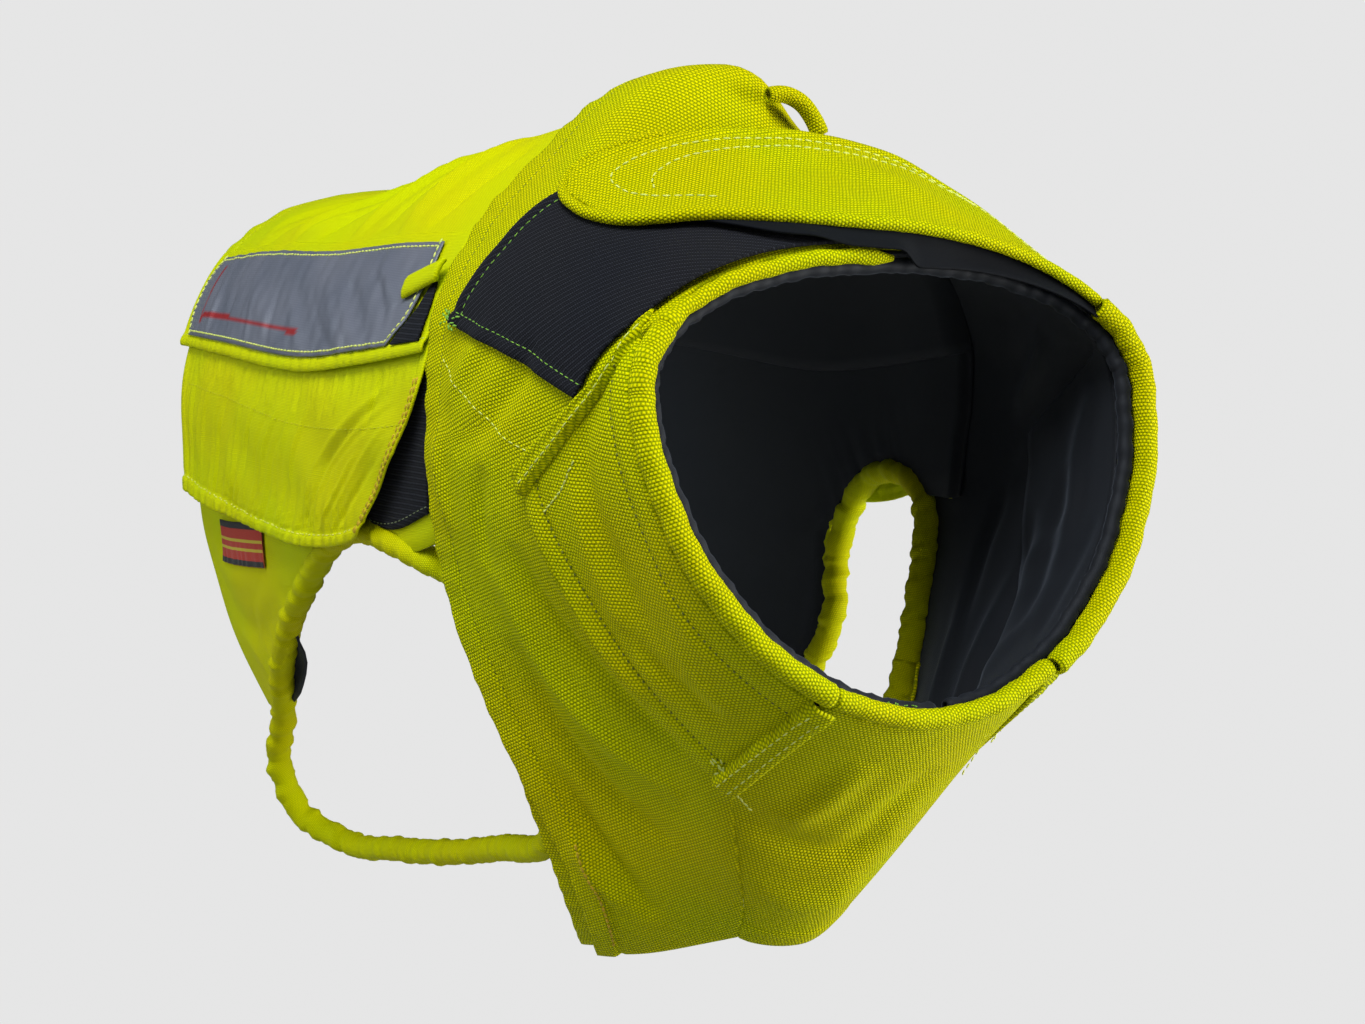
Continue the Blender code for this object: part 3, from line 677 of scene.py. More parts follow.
# ---- Throat panel ------------------------------------------------------------------------------------------
# A gore of the same heavy weave between the two chest halves, from the throat rim down to a point on the
# breast. It is sewn edge to edge with the halves, so the cloth dips along both seams.
THROAT_ROWS = (
    ((1.5, 153), (1.5, 180), (1.5, 207)),
    ((9.5, 149.5), (9.5, 180), (9.5, 210.5)),
    ((18, 147.4), (18, 180), (18, 212.6)),
    ((24, 154.4), (24, 180), (24, 205.6)),
    ((29.5, 160.4), (29.5, 180), (29.5, 199.6)),
    ((35.3, 166.4), (34, 180), (35.3, 193.6)),
)
grid = cut_grid(THROAT_ROWS, 2.0)
reach = reach_on(grid, CHEST_FACE)
seam_dip = -0.45 * near(reach["fore"], 0, 2.6) - 0.45 * near(reach["rear"], 0, 2.6)
lift = chest_lift(grid[..., 0], grid[..., 1]) + seam_dip + hemmed(reach, ("last",), *CHEST_HEM)
sheet_of_cloth("throat_panel", grid, HEAVY_OUT, HEAVY_WALL, lift, heavy_weave)

# ---- Collar inserts ----------------------------------------------------------------------------------------
# A crescent of the heavy weave laid over each chest half from the nape to the throat. Its upper edge is
# folded twice and stands up as a band, its throat end is a doubled strip, and its long curved edge is sewn
# down with heavy thread, drawn as dark dots that also paint the shade in its stitch holes.
INSERT_ROWS = (
    ((1.2, -61), (4, -81), (8.5, -89.5), (18.6, -99)),
    ((1.2, -71), (4.8, -86.5), (10.5, -96), (18.6, -103.5)),
    ((1.2, -81), (5, -92), (11.5, -101.5), (18.6, -108)),
    ((1.2, -97), (8, -106), (18.6, -117)),
    ((1.2, -113), (9, -119.6), (18.6, -126)),
    ((1.2, -128), (9.6, -132), (18.6, -135)),
    ((1.2, -141), (9.8, -142.2), (18.6, -143)),
    ((1.2, -154), (9.8, -152), (18.2, -149.5)),
)
OVER_HEAVY = CHEST_FACE + 0.8
INSERT_WALL, BAND_WIDTH, BAND_HEIGHT, STRIP_WIDTH, STRIP_HEIGHT = 1.9, 8.2, 2.7, 8.4, 2.9
SIDES = (("right", 1), ("left", -1))
insert_grid = cut_grid(INSERT_ROWS, 1.5)
for side, flip in SIDES:
    grid = insert_grid * (1, flip)
    reach = reach_on(grid, OVER_HEAVY)
    first, last, fore, rear = (reach[edge] for edge in ("first", "last", "fore", "rear"))
    band = BAND_HEIGHT * before(first, BAND_WIDTH, 1.3) - 0.8 * near(first, 3.4, 0.9)
    band = band - 0.6 * near(first, BAND_WIDTH + 2, 1.2)
    strip = STRIP_HEIGHT * before(last, STRIP_WIDTH, 1.2) - 0.8 * near(last, STRIP_WIDTH + 1.4, 1.1)
    if side == "left":
        strip = strip * 0.1 - 1.3 * before(last, 0, 9.0)
    sewn_down = (0.5 * near(rear, 4.5, 3.0) - near(rear, 9.5, 1.7)) * eased(first / 14.0) * eased(last / 14.0)
    neck_seam = 0.5 * near(fore, 6.5, 3.5) - 0.6 * near(fore, 12.0, 2.0)
    lift = chest_lift(grid[..., 0], grid[..., 1]) + band + strip + sewn_down + neck_seam
    node, under = "collar_insert_" + side, ["side_panel_" + side]
    face = sheet_of_cloth(node, grid, OVER_HEAVY + 0.2, INSERT_WALL, lift, heavy_weave)
    faces["insert_" + side] = face

# ---- Sewing thread -----------------------------------------------------------------------------------------
# Lockstitch in a pale green-yellow thread, about three stitches to the centimetre, with short crossed tacks
# where a row ends. The stitches lie in rows along each piece's edges and seams.
stitching, given, result = new_group(
    "stitch_row",
    (
        ("Geometry", "Geometry", None),
        ("Stitch", "Float", 0.003),
        ("Gap", "Float", 0.001),
        ("Thickness", "Float", 0.0006),
        ("Uneven", "Float", 0.1),
        ("Thread", "Material", None),
    ),
    (("Geometry", "Geometry"),),
    "GeometryNodeTree",
)
line = wire(stitching, "GeometryNodeMeshToCurve", {"Mesh": given["Geometry"]}).outputs[0]
pace = math_node(stitching, "ADD", given["Stitch"], given["Gap"])
evened = {"Curve": line, "Length": pace}
evened = wire(stitching, "GeometryNodeResampleCurve", evened, mode="LENGTH").outputs[0]
ball = wire(stitching, "GeometryNodeMeshUVSphere", {"Segments": 6, "Rings": 5, "Radius": 0.5}).outputs["Mesh"]
shape = {"X": given["Stitch"], "Y": given["Thickness"], "Z": given["Thickness"]}
shape = wire(stitching, "ShaderNodeCombineXYZ", shape).outputs[0]
ball = wire(stitching, "GeometryNodeTransform", {"Geometry": ball, "Scale": shape}).outputs[0]
tangent = wire(stitching, "GeometryNodeInputTangent").outputs[0]
chance = wire(stitching, "FunctionNodeRandomValue", {"Seed": 7}, data_type="FLOAT_VECTOR")
chance.inputs["Min"].default_value, chance.inputs["Max"].default_value = (-1, -1, -1), (1, 1, 1)
stray = vector_math(stitching, "SCALE", {0: chance.outputs[0], "Scale": given["Uneven"]})
heading = vector_math(stitching, "ADD", {0: tangent, 1: stray})
turn_to = wire(stitching, "FunctionNodeAlignRotationToVector", {"Vector": heading}, axis="X").outputs[0]
placed = {"Points": evened, "Instance": ball, "Rotation": turn_to}
placed = wire(stitching, "GeometryNodeInstanceOnPoints", placed).outputs[0]
placed = wire(stitching, "GeometryNodeRealizeInstances", {"Geometry": placed}).outputs[0]
placed = wire(stitching, "GeometryNodeSetShadeSmooth", {"Geometry": placed}).outputs[0]
placed = {"Geometry": placed, "Material": given["Thread"]}
placed = wire(stitching, "GeometryNodeSetMaterial", placed).outputs[0]
stitching.links.new(placed, result[0])


def thread_material(name, color):
    made, tree, shader = new_material(name, 0.5, 0.4, (1, 1, 1))
    tones = {"Green": (0.78, 0.92, 0.8, 1), "Warm": (1, 1, 1, 1)}
    worn = group_node(tree, fading, Color=(*color, 1), Size=300.0, **tones)
    tree.links.new(worn.outputs[0], shader.inputs["Base Color"])
    return made


pale_thread = thread_material("pale_thread", (0.80, 0.84, 0.22))
green_thread = thread_material("green_thread", (0.24, 0.50, 0.06))
yellow_thread = thread_material("yellow_thread", (0.70, 0.68, 0.01))
dull_thread = thread_material("dull_thread", (0.20, 0.24, 0.14))
dark_thread = thread_material("dark_thread", (0.17, 0.19, 0.01))
# A gold-orange colour laid in nearly unbroken thick lines along folded edges: painted shade of the fold.
fold_shade_thread = thread_material("fold_shade_thread", (0.62, 0.40, 0.01))


def sew(name, lines, material, stitch=3.0, gap=0.9, thickness=0.55, stray=0.06):
    """Rows of stitches along lines in space, as one mesh."""
    corners, edges = [], []
    for row in lines:
        start = len(corners)
        corners += (np.asarray(row) * MM).tolist()
        edges += [(start + step, start + step + 1) for step in range(len(row) - 1)]
    mesh = bpy.data.meshes.new(name + "_line")
    mesh.from_pydata(corners, edges, [])
    guide = bpy.data.objects.new(name + "_line", mesh)
    scene.collection.objects.link(guide)
    modifier = guide.modifiers.new("stitches", "NODES")
    modifier.node_group = stitching
    values = {"Stitch": stitch * MM, "Gap": gap * MM, "Thickness": thickness * MM}
    values |= {"Uneven": stray, "Thread": material}
    for socket in stitching.interface.items_tree:
        if socket.in_out == "INPUT" and socket.name in values:
            modifier[socket.identifier] = values[socket.name]
    bpy.context.view_layer.update()
    shown = guide.evaluated_get(bpy.context.evaluated_depsgraph_get())
    piece = bpy.data.objects.new(name, bpy.data.meshes.new_from_object(shown))
    scene.collection.objects.link(piece)
    bpy.data.objects.remove(guide)
    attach(piece, "root")


def edge_line(face, edge, inset, span=(0, 1)):
    """Line on a sheet's outer face at a fixed distance inside one of its edges."""
    reach = reach_from(face)[edge]
    if edge in ("first", "last"):
        face, reach = face.swapaxes(0, 1), reach.T
    line = []
    for row in range(int(span[0] * (len(face) - 1)), int(span[1] * (len(face) - 1)) + 1):
        order = np.argsort(reach[row])
        line.append([np.interp(inset, reach[row][order], face[row][order, axis]) for axis in range(3)])
    return np.array(line)


def sew_edges(name, face, rows, *kind):
    """Rows of stitches inside a sheet's edges; each row is an edge, an inset and a span."""
    sew(name, [edge_line(face, *row) for row in rows], *kind)


def on_chest(places, out, count=60):
    """Line on the chest at a height over its form, through (run, turn) places."""
    run, turn = even_line(places, count).T
    return raised(run, turn, out + chest_lift(run, turn))


# One step of run and one of turn at the breast, in millimetres.
RUN_LENGTH, TURN_LENGTH = 4.6, 2.1


def tack(centre, ways, size, out):
    """Crossed stitches of a tack at one place on the chest."""
    steps = [(size * math.sin(way) / RUN_LENGTH, size * math.cos(way) / TURN_LENGTH) for way in ways]
    return [on_chest((np.subtract(centre, step), np.add(centre, step)), out, 6) for step in steps]


for side, flip in SIDES:
    insert, panel, way = faces["insert_" + side], faces["side_" + side], (1, flip)
    rows = ("last", 7.4, (0.10, 0.97)), ("last", 2.6, (0.12, 0.97)), ("first", 6.9, (0.05, 0.97))
    sew_edges("insert_stitches_" + side, insert, rows, pale_thread, 3.4, 0.8, 0.6)
    rows = ("rear", 9.5, (0.08, 0.93)), ("fore", 12.0, (0.10, 0.94))
    # Dark olive dots along the sewn-down rear edge and the neck seam: partly the heavy thread, partly painted
    # shade in its stitch holes.
    sew_edges("insert_hole_shade_stitches_" + side, insert, rows, dark_thread, 1.3, 1.7, 0.9, 0.25)
    neck_seam = on_chest(np.multiply(((29.2, -78.7), (23.1, -88.7), (19.4, -94.7), (15.4, -98.4)), way), 3.7)
    sew("chest_stitches_" + side, [neck_seam], pale_thread, 2.6, 1.0, 0.45)
    rows = [("rear", 11.6, (0.02, 0.98))]
    sew_edges("chest_hem_stitches_" + side, panel, rows, dark_thread, 2.6, 0.9, 0.28)
    # A thick gold line inside the rear hem near the breast: painted shade along the hem's fold.
    sew_edges("chest_hem_fold_shade_" + side, panel, [("rear", 10.4, (0.90, 0.985))], fold_shade_thread, 3.0, 0.1, 1.2)
    breast_seam = ((18.6, -147.6), (24.2, -154.2), (29.6, -160.2), (34.0, -165.8))
    breast_seam = on_chest(np.multiply(breast_seam, way), 2.9)
    sew("breast_seam_" + side, [breast_seam], pale_thread, 3.6, 0.7, 0.45)
    star = tack((16.6, flip * -146.6), (0.2, 1.2, 2.2, 2.9), 4.6, 7.0)
    star.append(on_chest(np.multiply(((16.6, -146.6), (18.4, -150.0), (19.2, -153.0)), way), 5.4, 12))
    star.append(on_chest(np.multiply(((10.5, -99.3), (12.9, -102.7), (16.3, -105.3)), way), 6.6, 14))
    sew("tacks_" + side, star, pale_thread, 2.6, 0.2, 0.7, 0.25)

# ---- Chest linings -----------------------------------------------------------------------------------------
# A smooth black lining inside each chest piece, sewn in with it. It shows through the neck, with soft slack
# folds.
LINING_CREASES = (
    (((8.4, 116), (14, 118.5), (22.6, 122.5)), 6.5, -1.5),
    (((9.6, 132.5), (15, 134), (20.8, 136.5)), 6.5, -1.5),
    (((12, 98), (18, 100), (26, 103)), 8, -1.3),
    (((6, 124), (12, 126), (19, 129)), 7, 0.9),
    (((8, 74), (16, 76), (27, 80)), 9, -1.1),
    (((7, 146), (13, 149), (20, 151)), 7, -1.1),
    (((8.4, -116), (14, -118.5), (22.6, -122.5)), 6.5, -1.3),
    (((12, -98), (18, -100), (26, -103)), 8, -1.3),
    (((8, -74), (16, -76), (27, -80)), 9, -1.1),
)
black_lining = woven(
    "black_lining", (0.42, 0.42), thread=(0.0145, 0.0160, 0.0200), hollow=(0.007, 0.0078, 0.010), wander=0.2,
    depth=0.03, blend=0.7, faded=(12.0, (0.9, 0.95, 1.05), (1.08, 1.04, 1.0)), roughness=0.62, specular=0.24,
    tint=(0.75, 0.84, 1.0), sheen=0.12, sheen_tint=(0.5, 0.6, 0.8),
)
LINING_OUT, LINING_WALL, COLLAR_LINING_OUT = 0.0, 1.2, -3.8


def lining_lift(run, turn):
    folds = creased(form(run, turn), LINING_CREASES) - 0.4
    return chest_lift(run, turn) + folds * eased((run - 2) / 6) * eased((32 - run) / 6)


collar_grid = cut_grid([tuple((run + 1.2, turn) for run, turn in row) for row in INSERT_ROWS], 3.0)
for node, grid, out, under in (
    ("side_lining_right", cut_grid(SIDE_ROWS, 4.0), LINING_OUT, "side_panel_right"),
    ("side_lining_left", cut_grid(left_rows, 4.0), LINING_OUT, "side_panel_left"),
    ("throat_lining", cut_grid(THROAT_ROWS, 3.4), LINING_OUT, "throat_panel"),
    ("collar_lining_right", collar_grid, COLLAR_LINING_OUT, "side_lining_right"),
    ("collar_lining_left", collar_grid * (1, -1), COLLAR_LINING_OUT, "side_lining_left"),
):
    lift = lining_lift(grid[..., 0], grid[..., 1])
    sheet_of_cloth(node, grid, out, LINING_WALL, lift, black_lining)

# ---- Edge facings ------------------------------------------------------------------------------------------
# A narrow strip of the heavy weave turned inside the chest's rear hem at the breast, with a sharp crease
# between. The left one is narrower.
FACING_ROWS = (
    ((36.6, -123, 1.4), (38.2, -123, 1.8)),
    ((36.8, -131, 1.4), (40.2, -131, 1.8)),
    ((39, -141.5, 1.4), (42.8, -141.5, 1.8)),
    ((41.6, -149.8, 1.4), (45.8, -149.8, 1.8)),
    ((44.4, -157, 1.4), (49.2, -157, 1.8)),
)
FACING_OUT, FACING_WALL, NARROWER = -1.8, 1.4, 1.6
facing_grid = cut_grid(FACING_ROWS, 1.6)
for side, flip in SIDES:
    grid = facing_grid * (1, flip, 1)
    if side == "left":
        grid[..., 0] += np.linspace(NARROWER, 0, grid.shape[1])
    ripple = gathered(form(grid[..., 0], grid[..., 1]), grid[::8, -1, :2], 12.0, 0.35, 11.0, 1.0)
    node, under, lift = "edge_facing_" + side, ["side_panel_" + side], grid[..., 2] + ripple
    sheet_of_cloth(node, grid, FACING_OUT, FACING_WALL, lift, heavy_weave)

# ---- Back and belly ----------------------------------------------------------------------------------------
# A finer, smoother cloth in the same yellow: one panel over the spine, and a panel down each side that
# leaves the leg opening and runs on behind it as a tongue. All are lined in black and hang in soft folds
# from the nape.
FINE_OUT, FINE_WALL = 1.6, 1.2
BACK_RUNS = (42, 49, 57, 66, 76, 88, 100)
BACK_CREASES = (
    (((62, -16), (64, -28), (66, -40), (69, -50)), 4.96, -5),
    (((57, -12), (58.6, -26), (60, -38), (62, -50)), 4.34, 4.25),
    (((52, -14), (53.4, -26), (54.6, -38), (56, -49)), 4.65, -4.5),
    (((46.5, -20), (47.8, -32), (49, -44), (50.4, -52)), 4.03, 3.75),
    (((41.5, -26), (43, -38), (45, -50)), 4.34, -3.75),
    (((67.6, -18), (70.6, -30), (73.6, -42), (76, -50)), 4.96, 4.25),
    (((73, -20), (77.4, -32), (81, -44)), 5.58, -3.75),
    (((79, -22), (84, -34), (88, -46)), 5.58, 2.75),
    (((60, -8), (71, -14), (82, -22), (92, -34)), 7.44, -3.25),
    (((68, -40), (72, -50), (76, -60)), 4.96, 3),
    (((80, -42), (84, -50), (88, -60)), 5.58, -2.75),
    (((42, 20), (50, 30), (58, 42), (66, 54)), 6.82, -5.5),
    (((45, 12), (55, 22), (64, 34), (72, 48)), 6.82, 4.25),
    (((38, 36), (43, 46), (48, 58)), 5.27, 4),
    (((54, 10), (65, 18), (76, 30), (85, 44)), 7.44, -3.5),
    (((62, 44), (67, 54), (72, 66)), 4.96, 3),
    (((42, 2), (52, -2), (62, 2), (74, -1)), 8.06, 3),
    (((76, 8), (86, 2), (96, 6)), 7.44, -2.5),
    (((82, 30), (90, 40), (96, 52)), 6.2, 2.75),
)
BELLY_CREASES = (
    (((46, -88), (56, -90), (68, -92), (80, -95)), 9, -1.2),
    (((70, -104), (76, -108), (82, -110), (90, -108)), 9, -1.5),
    (((74, -100), (80, -103), (88, -104), (95, -101)), 8, 1.3),
    (((78, -116), (81, -113), (85, -112)), 7, 1.1),
    (((64, -97), (70, -100), (76, -106), (79, -114)), 6.5, 1.2),
    (((62, 97), (68, 101), (72, 108), (76, 116)), 8, -1.4),
    (((66, 104), (74, 106), (84, 108), (92, 105)), 9, 1.4),
    (((72, 98), (80, 101), (90, 102)), 8, -1.2),
    (((48, 86), (60, 88), (72, 92)), 9, 1.1),
)
fine_cloth = woven(
    "fine_cloth", (0.75, 0.65), thread=(0.80, 0.84, 0.0), hollow=(0.44, 0.52, 0.0), wander=0.2, depth=0.10,
    blend=0.8, rib=0.2, roughness=0.58, specular=0.16, tint=YELLOW_TINT,
)
CAUGHT, LINING_CAUGHT = 0.955, 0.90


def back_lift(run, turn):
    """Folds of the back and belly, flatter where the flaps lie, and the sag of the back behind the nape."""
    base, aside = form(run, turn), np.abs(turned(turn))
    folds = creased(base, BACK_CREASES) + creased(base, BELLY_CREASES) + uneven(base, 95, 1.1, 11)
    sag = 11.5 * near(run, 74.0, 15.5)
    sag = sag * eased((50.0 + turned(turn)) / 22.0) * eased((48.0 - turned(turn)) / 30.0)
    by_flaps = eased((aside - 46) / 10) * eased((100 - aside) / 6)
    return folds * eased((run - 35.0) / 9.0) * (1 - 0.7 * by_flaps) - sag


def row_end(row, share):
    """The last part of a chest row, where the back's and belly's cloth is caught under the chest."""
    line = even_line(row, 200)
    return tuple(line[int(200 * share)]), tuple(line[200])


def caught(reach, run, turn):
    """A lining's front edge rises to meet the chest's lining, and hides the raw edge of the cloth over it."""
    return (stand_off(run, turn) - 1.5) * before(reach["fore"], 1.0, 7.0)


for node, side_turn, out, wall, cloth, share, step in (
    ("back_panel", -76.0, FINE_OUT, FINE_WALL, fine_cloth, CAUGHT, 2.6),
    ("back_lining", -80.0, LINING_OUT, LINING_WALL, black_lining, LINING_CAUGHT, 5.0),
):
    rows = []
    for row in [*SIDE_ROWS[6::-1], *left_rows[:4]]:
        start, end = row_end(row, share)
        rows.append((start, end, *((run, end[1]) for run in BACK_RUNS)))
    rows = [[(run, side_turn) for run, _ in rows[0]], *rows, [(run, -side_turn) for run, _ in rows[0]]]
    grid = cut_grid(rows, step)
    run, turn = grid[..., 0], grid[..., 1]
    reach = reach_on(grid, out)
    if node == "back_panel":
        puckers = gathered(form(run, turn), grid[::16, -1], 14.0, 0.5, 23.0, 2.0)
        hem = hemmed(reach, ("rear",), 12.0, 0.5) + puckers
    else:
        hem = caught(reach, run, turn)
    face = sheet_of_cloth(node, grid, out, wall, back_lift(run, turn) + hem, cloth)
    if node == "back_panel":
        back_face = face
sew_edges("back_hem_stitches", back_face, [("rear", 12.6)], yellow_thread, 2.6, 0.8, 0.4)

BELLY_RUNS = (42, 48, 56, 64, 73, 82, 91)
BELLY = {
    "right": (
        ((42, -99.8), (47.6, -94.2), (56, -94), (63.2, -97.6)),
        (
            ((68.5, -102.5), (98.2, -104)), ((73.4, -109), (94, -111)), ((77.3, -117), (88, -118)),
            ((79.8, -123), (83.5, -124)),
        ),
    ),
    "left": (
        ((41, -98.2), (45.4, -93.2), (51.6, -92.4), (57.6, -95)),
        (
            ((60.4, -98.5), (98.2, -104)), ((60.6, -107), (94, -111)), ((63.4, -115.4), (88, -118)),
            ((68.4, -122.4), (83.5, -124)),
        ),
    ),
}


def belly_grid(arch, tongue, down, across, share):
    """Grid of a side and belly panel, and which of its cells are cloth: none below the leg opening's arch."""
    rows = []
    for chest, shift in ((6, 0.0), (6, -5.6), (7, 0.0)):
        ends = np.array(row_end(SIDE_ROWS[chest], share)) + (0, shift)
        rows.append([*ends, *((run, ends[1, 1]) for run in BELLY_RUNS), (99.2, ends[1, 1])])
    ends = np.array(row_end(SIDE_ROWS[8], share)) * 0.55 + np.array(row_end(SIDE_ROWS[9], share)) * 0.45
    rows.append([*ends, *arch[:-1], *even_line((arch[-1], (99.0, -97.5)), 4)])
    above_arch = np.array(rows, float)
    below = [even_line(row, 4) for row in tongue]
    last, drop = above_arch[-1, :5], (above_arch[-1, :5] - above_arch[-2, :5]) * 0.5
    hidden = [last + drop * (step + 1) for step in range(len(below))]
    table = np.concatenate([above_arch, [np.concatenate([fore, rear]) for fore, rear in zip(hidden, below)]])
    columns = table.shape[1]
    steps = np.linspace(0, len(table) - 1, (len(table) - 1) * down + 1)
    places = np.arange(len(table), dtype=float)
    lines = [np.stack([smooth(places, table[:, c, k], steps) for k in (0, 1)], -1) for c in range(columns)]
    lines = np.stack(lines, 1)
    out = np.zeros((len(lines), (columns - 1) * across + 1, 2))
    for row, line in enumerate(lines):
        first = 0 if steps[row] <= 3 else 5
        at = np.linspace(first, columns - 1, (columns - 1 - first) * across + 1)
        places = np.arange(first, columns, dtype=float)
        out[row, first * across :] = np.stack([smooth(places, line[first:, k], at) for k in (0, 1)], -1)
        out[row, : first * across] = out[row, first * across]
    kept = np.ones((out.shape[0] - 1, out.shape[1] - 1), bool)
    kept[3 * down :, : 5 * across] = False
    return out, kept


# The right lining comes a little past the binding behind the leg, in from the opening.
LINING_PAST = (0.8, 3.9, 3.7, 0.8)
BELLY_OUT, BELLY_LINING_OUT = FINE_OUT + 2.0, 2.0
for side, flip in SIDES:
    arch, tongue = BELLY[side]
    for node, out, wall, cloth, share, down, across in (
        ("belly_panel_", BELLY_OUT, FINE_WALL, fine_cloth, CAUGHT, 8, 12),
        ("belly_lining_", BELLY_LINING_OUT, LINING_WALL, black_lining, LINING_CAUGHT, 4, 8),
    ):
        lining = node == "belly_lining_"
        if lining and side == "right":
            tongue = [((fore[0] - past, fore[1]), rear) for (fore, rear), past in zip(tongue, LINING_PAST)]
        grid, kept = belly_grid(arch, tongue, down, across, share)
        if lining:
            grid, kept = grid[down:], kept[down:]
        grid = grid * (1, flip)
        run, turn = grid[..., 0], grid[..., 1]
        path = np.concatenate([arch, [row[0] for row in tongue]]) * (1, flip)
        phase = 0.0 if side == "right" else 2.0
        lift = back_lift(run, turn) + gathered(form(run, turn), path, 13.0, 0.7, 11.0, phase)
        if lining:
            reach = reach_on(grid, out)
            lift = lift + np.maximum(caught(reach, run, turn) - 2.0, 0)
            if side == "right":
                behind_leg = near(turn, -112.5, 7.0) * (run > 64)
                lift = lift - 6.0 * behind_leg * before(reach["fore"], 9.0, 12.0)
        under = "belly_panel_" + side if lining else "back_panel"
        sheet_of_cloth(node + side, grid, out, wall, lift, cloth, kept=kept)

# ---- Leg bindings ------------------------------------------------------------------------------------------
# Elastic bound in the fine cloth all round each leg opening, gathered so that it puckers, and free below
# the belly as a strap from the tongue to the chest.
LEG = {
    "right": (
        (
            (34.4, -122, -10.5), (35.2, -114, -9), (37.6, -107, -5), (40.6, -101.6, 0.5),
            (44.2, -97.4, 3.4), (49, -94.8, 4), (56, -94.9, 4.2), (64, -99.5, 4.2), (69.6, -106, 4.2),
            (73.9, -114, 4.2), (77.2, -122, 4.2),
        ),
        (
            (-116, 360, -172), (-107, 357, -196), (-92, 334, -207), (-84, 290, -200), (-80, 238, -188),
            (-77, 185, -172), (-77, 142, -158),
        ),
    ),
    "left": (
        (
            (40.3, -121, -2.4), (39.4, -113, -0.8), (39, -106, 1.2), (40, -100.2, 3.2), (43, -95.6, 3.8),
            (47.4, -93.2, 4), (52.4, -93.4, 4.2), (56.8, -96.4, 4.2), (59.2, -101.5, 4.2),
            (59.6, -108.5, 4.2), (62.6, -116.5, 4.2), (67.6, -123.5, 4.2),
        ),
        (
            (-110, 312, -172), (-102, 312, -192), (-91, 290, -199), (-84, 255, -192), (-81, 215, -181),
            (-77, 178, -170), (-77, 142, -158),
        ),
    ),
}
binding_cloth = woven(
    "elastic_binding", (0.9, 0.8), thread=(0.82, 0.80, 0.0), hollow=(0.40, 0.46, 0.0), wander=0.3, depth=0.14,
    roughness=0.60, specular=0.16, tint=YELLOW_TINT,
)


def ring_line(points, count):
    """Smooth closed line through points in space."""
    points = np.vstack([points[-2:], points, points[:3]])
    length = lengths_along(points)
    at = np.linspace(length[2], length[-3], count + 1)[:-1]
    return np.stack([smooth(length, points[:, axis], at) for axis in range(3)], -1)


def rolled_cloth(
    name, path, radius, wall, around, material, held, rests_on, closed=False, puckers=None, flat=1.0
):
    """Strip of cloth rolled into a hollow tube along a path. Puckers gives each point's extra radius."""
    count, under = len(path), len(path) * (around + 1)
    ahead, behind = np.roll(path, -1, axis=0), np.roll(path, 1, axis=0)
    if not closed:
        ahead[-1], behind[0] = path[-1], path[0]
    tangent = ahead - behind
    tangent /= np.linalg.norm(tangent, axis=1, keepdims=True)
    side = np.cross(tangent, path - path.mean(axis=0))
    side /= np.linalg.norm(side, axis=1, keepdims=True)
    other = np.cross(side, tangent)
    length = lengths_along(path)
    total = length[-1] + (np.linalg.norm(path[0] - path[-1]) if closed else 0)
    angle = np.linspace(0, 2 * np.pi, around + 1)
    ring = side[:, None] * np.cos(angle)[None, :, None] + flat * other[:, None] * np.sin(angle)[None, :, None]
    extra = 1 + (0 if puckers is None else puckers(length[:, None], angle[None, :]))
    if not closed:
        extra = extra * (0.86 + 0.14 * eased(np.minimum(length, total - length)[:, None] / 1.2))
    sizes = (radius, max(radius - wall, 0.3 * radius))
    high, low = ((path[:, None] + ring * (extra * size)[..., None]).reshape(-1, 3) for size in sizes)
    index = np.arange(under).reshape(count, around + 1)
    quads = cells(count, around + 1)
    if closed:
        seam = np.stack([index[-1, :-1], index[-1, 1:], index[0, 1:], index[0, :-1]], -1)[None]
        quads = np.concatenate([quads, seam])
    quads = quads.reshape(-1, 4)
    a, b, d = (high[quads[:, k]] for k in (0, 1, 3))
    if (np.cross(b - a, d - a) * (a - path[quads[:, 0] // (around + 1)])).sum() < 0:
        quads = quads[:, ::-1]
    walls = [quads, quads[:, ::-1] + under]
    for row, way in () if closed else ((index[0], -tangent[0]), (index[-1], tangent[-1])):
        cap = np.stack([row[:-1], row[1:], row[1:] + under, row[:-1] + under], 1)
        facing = np.cross(high[row[1:]] - high[row[:-1]], low[row[:-1]] - high[row[:-1]])
        walls.append(cap if (facing @ way).sum() >= 0 else cap[:, ::-1])
    cut = np.stack(np.broadcast_arrays(angle[None, :] * radius, length[:, None]), -1).reshape(-1, 2) * MM
    corners = np.concatenate([high, low])
    piece = write_mesh(name, corners, np.concatenate(walls), np.concatenate([cut, cut]), material)
    builder = bmesh.new()
    builder.from_mesh(piece.data)
    bmesh.ops.remove_doubles(builder, verts=builder.verts, dist=1e-7)
    builder.to_mesh(piece.data)
    builder.free()
    girth = float(math.pi * radius * (1 + flat) * MM * np.mean(extra))
    finish_piece(name, piece, (girth, total * MM), girth * total * MM)


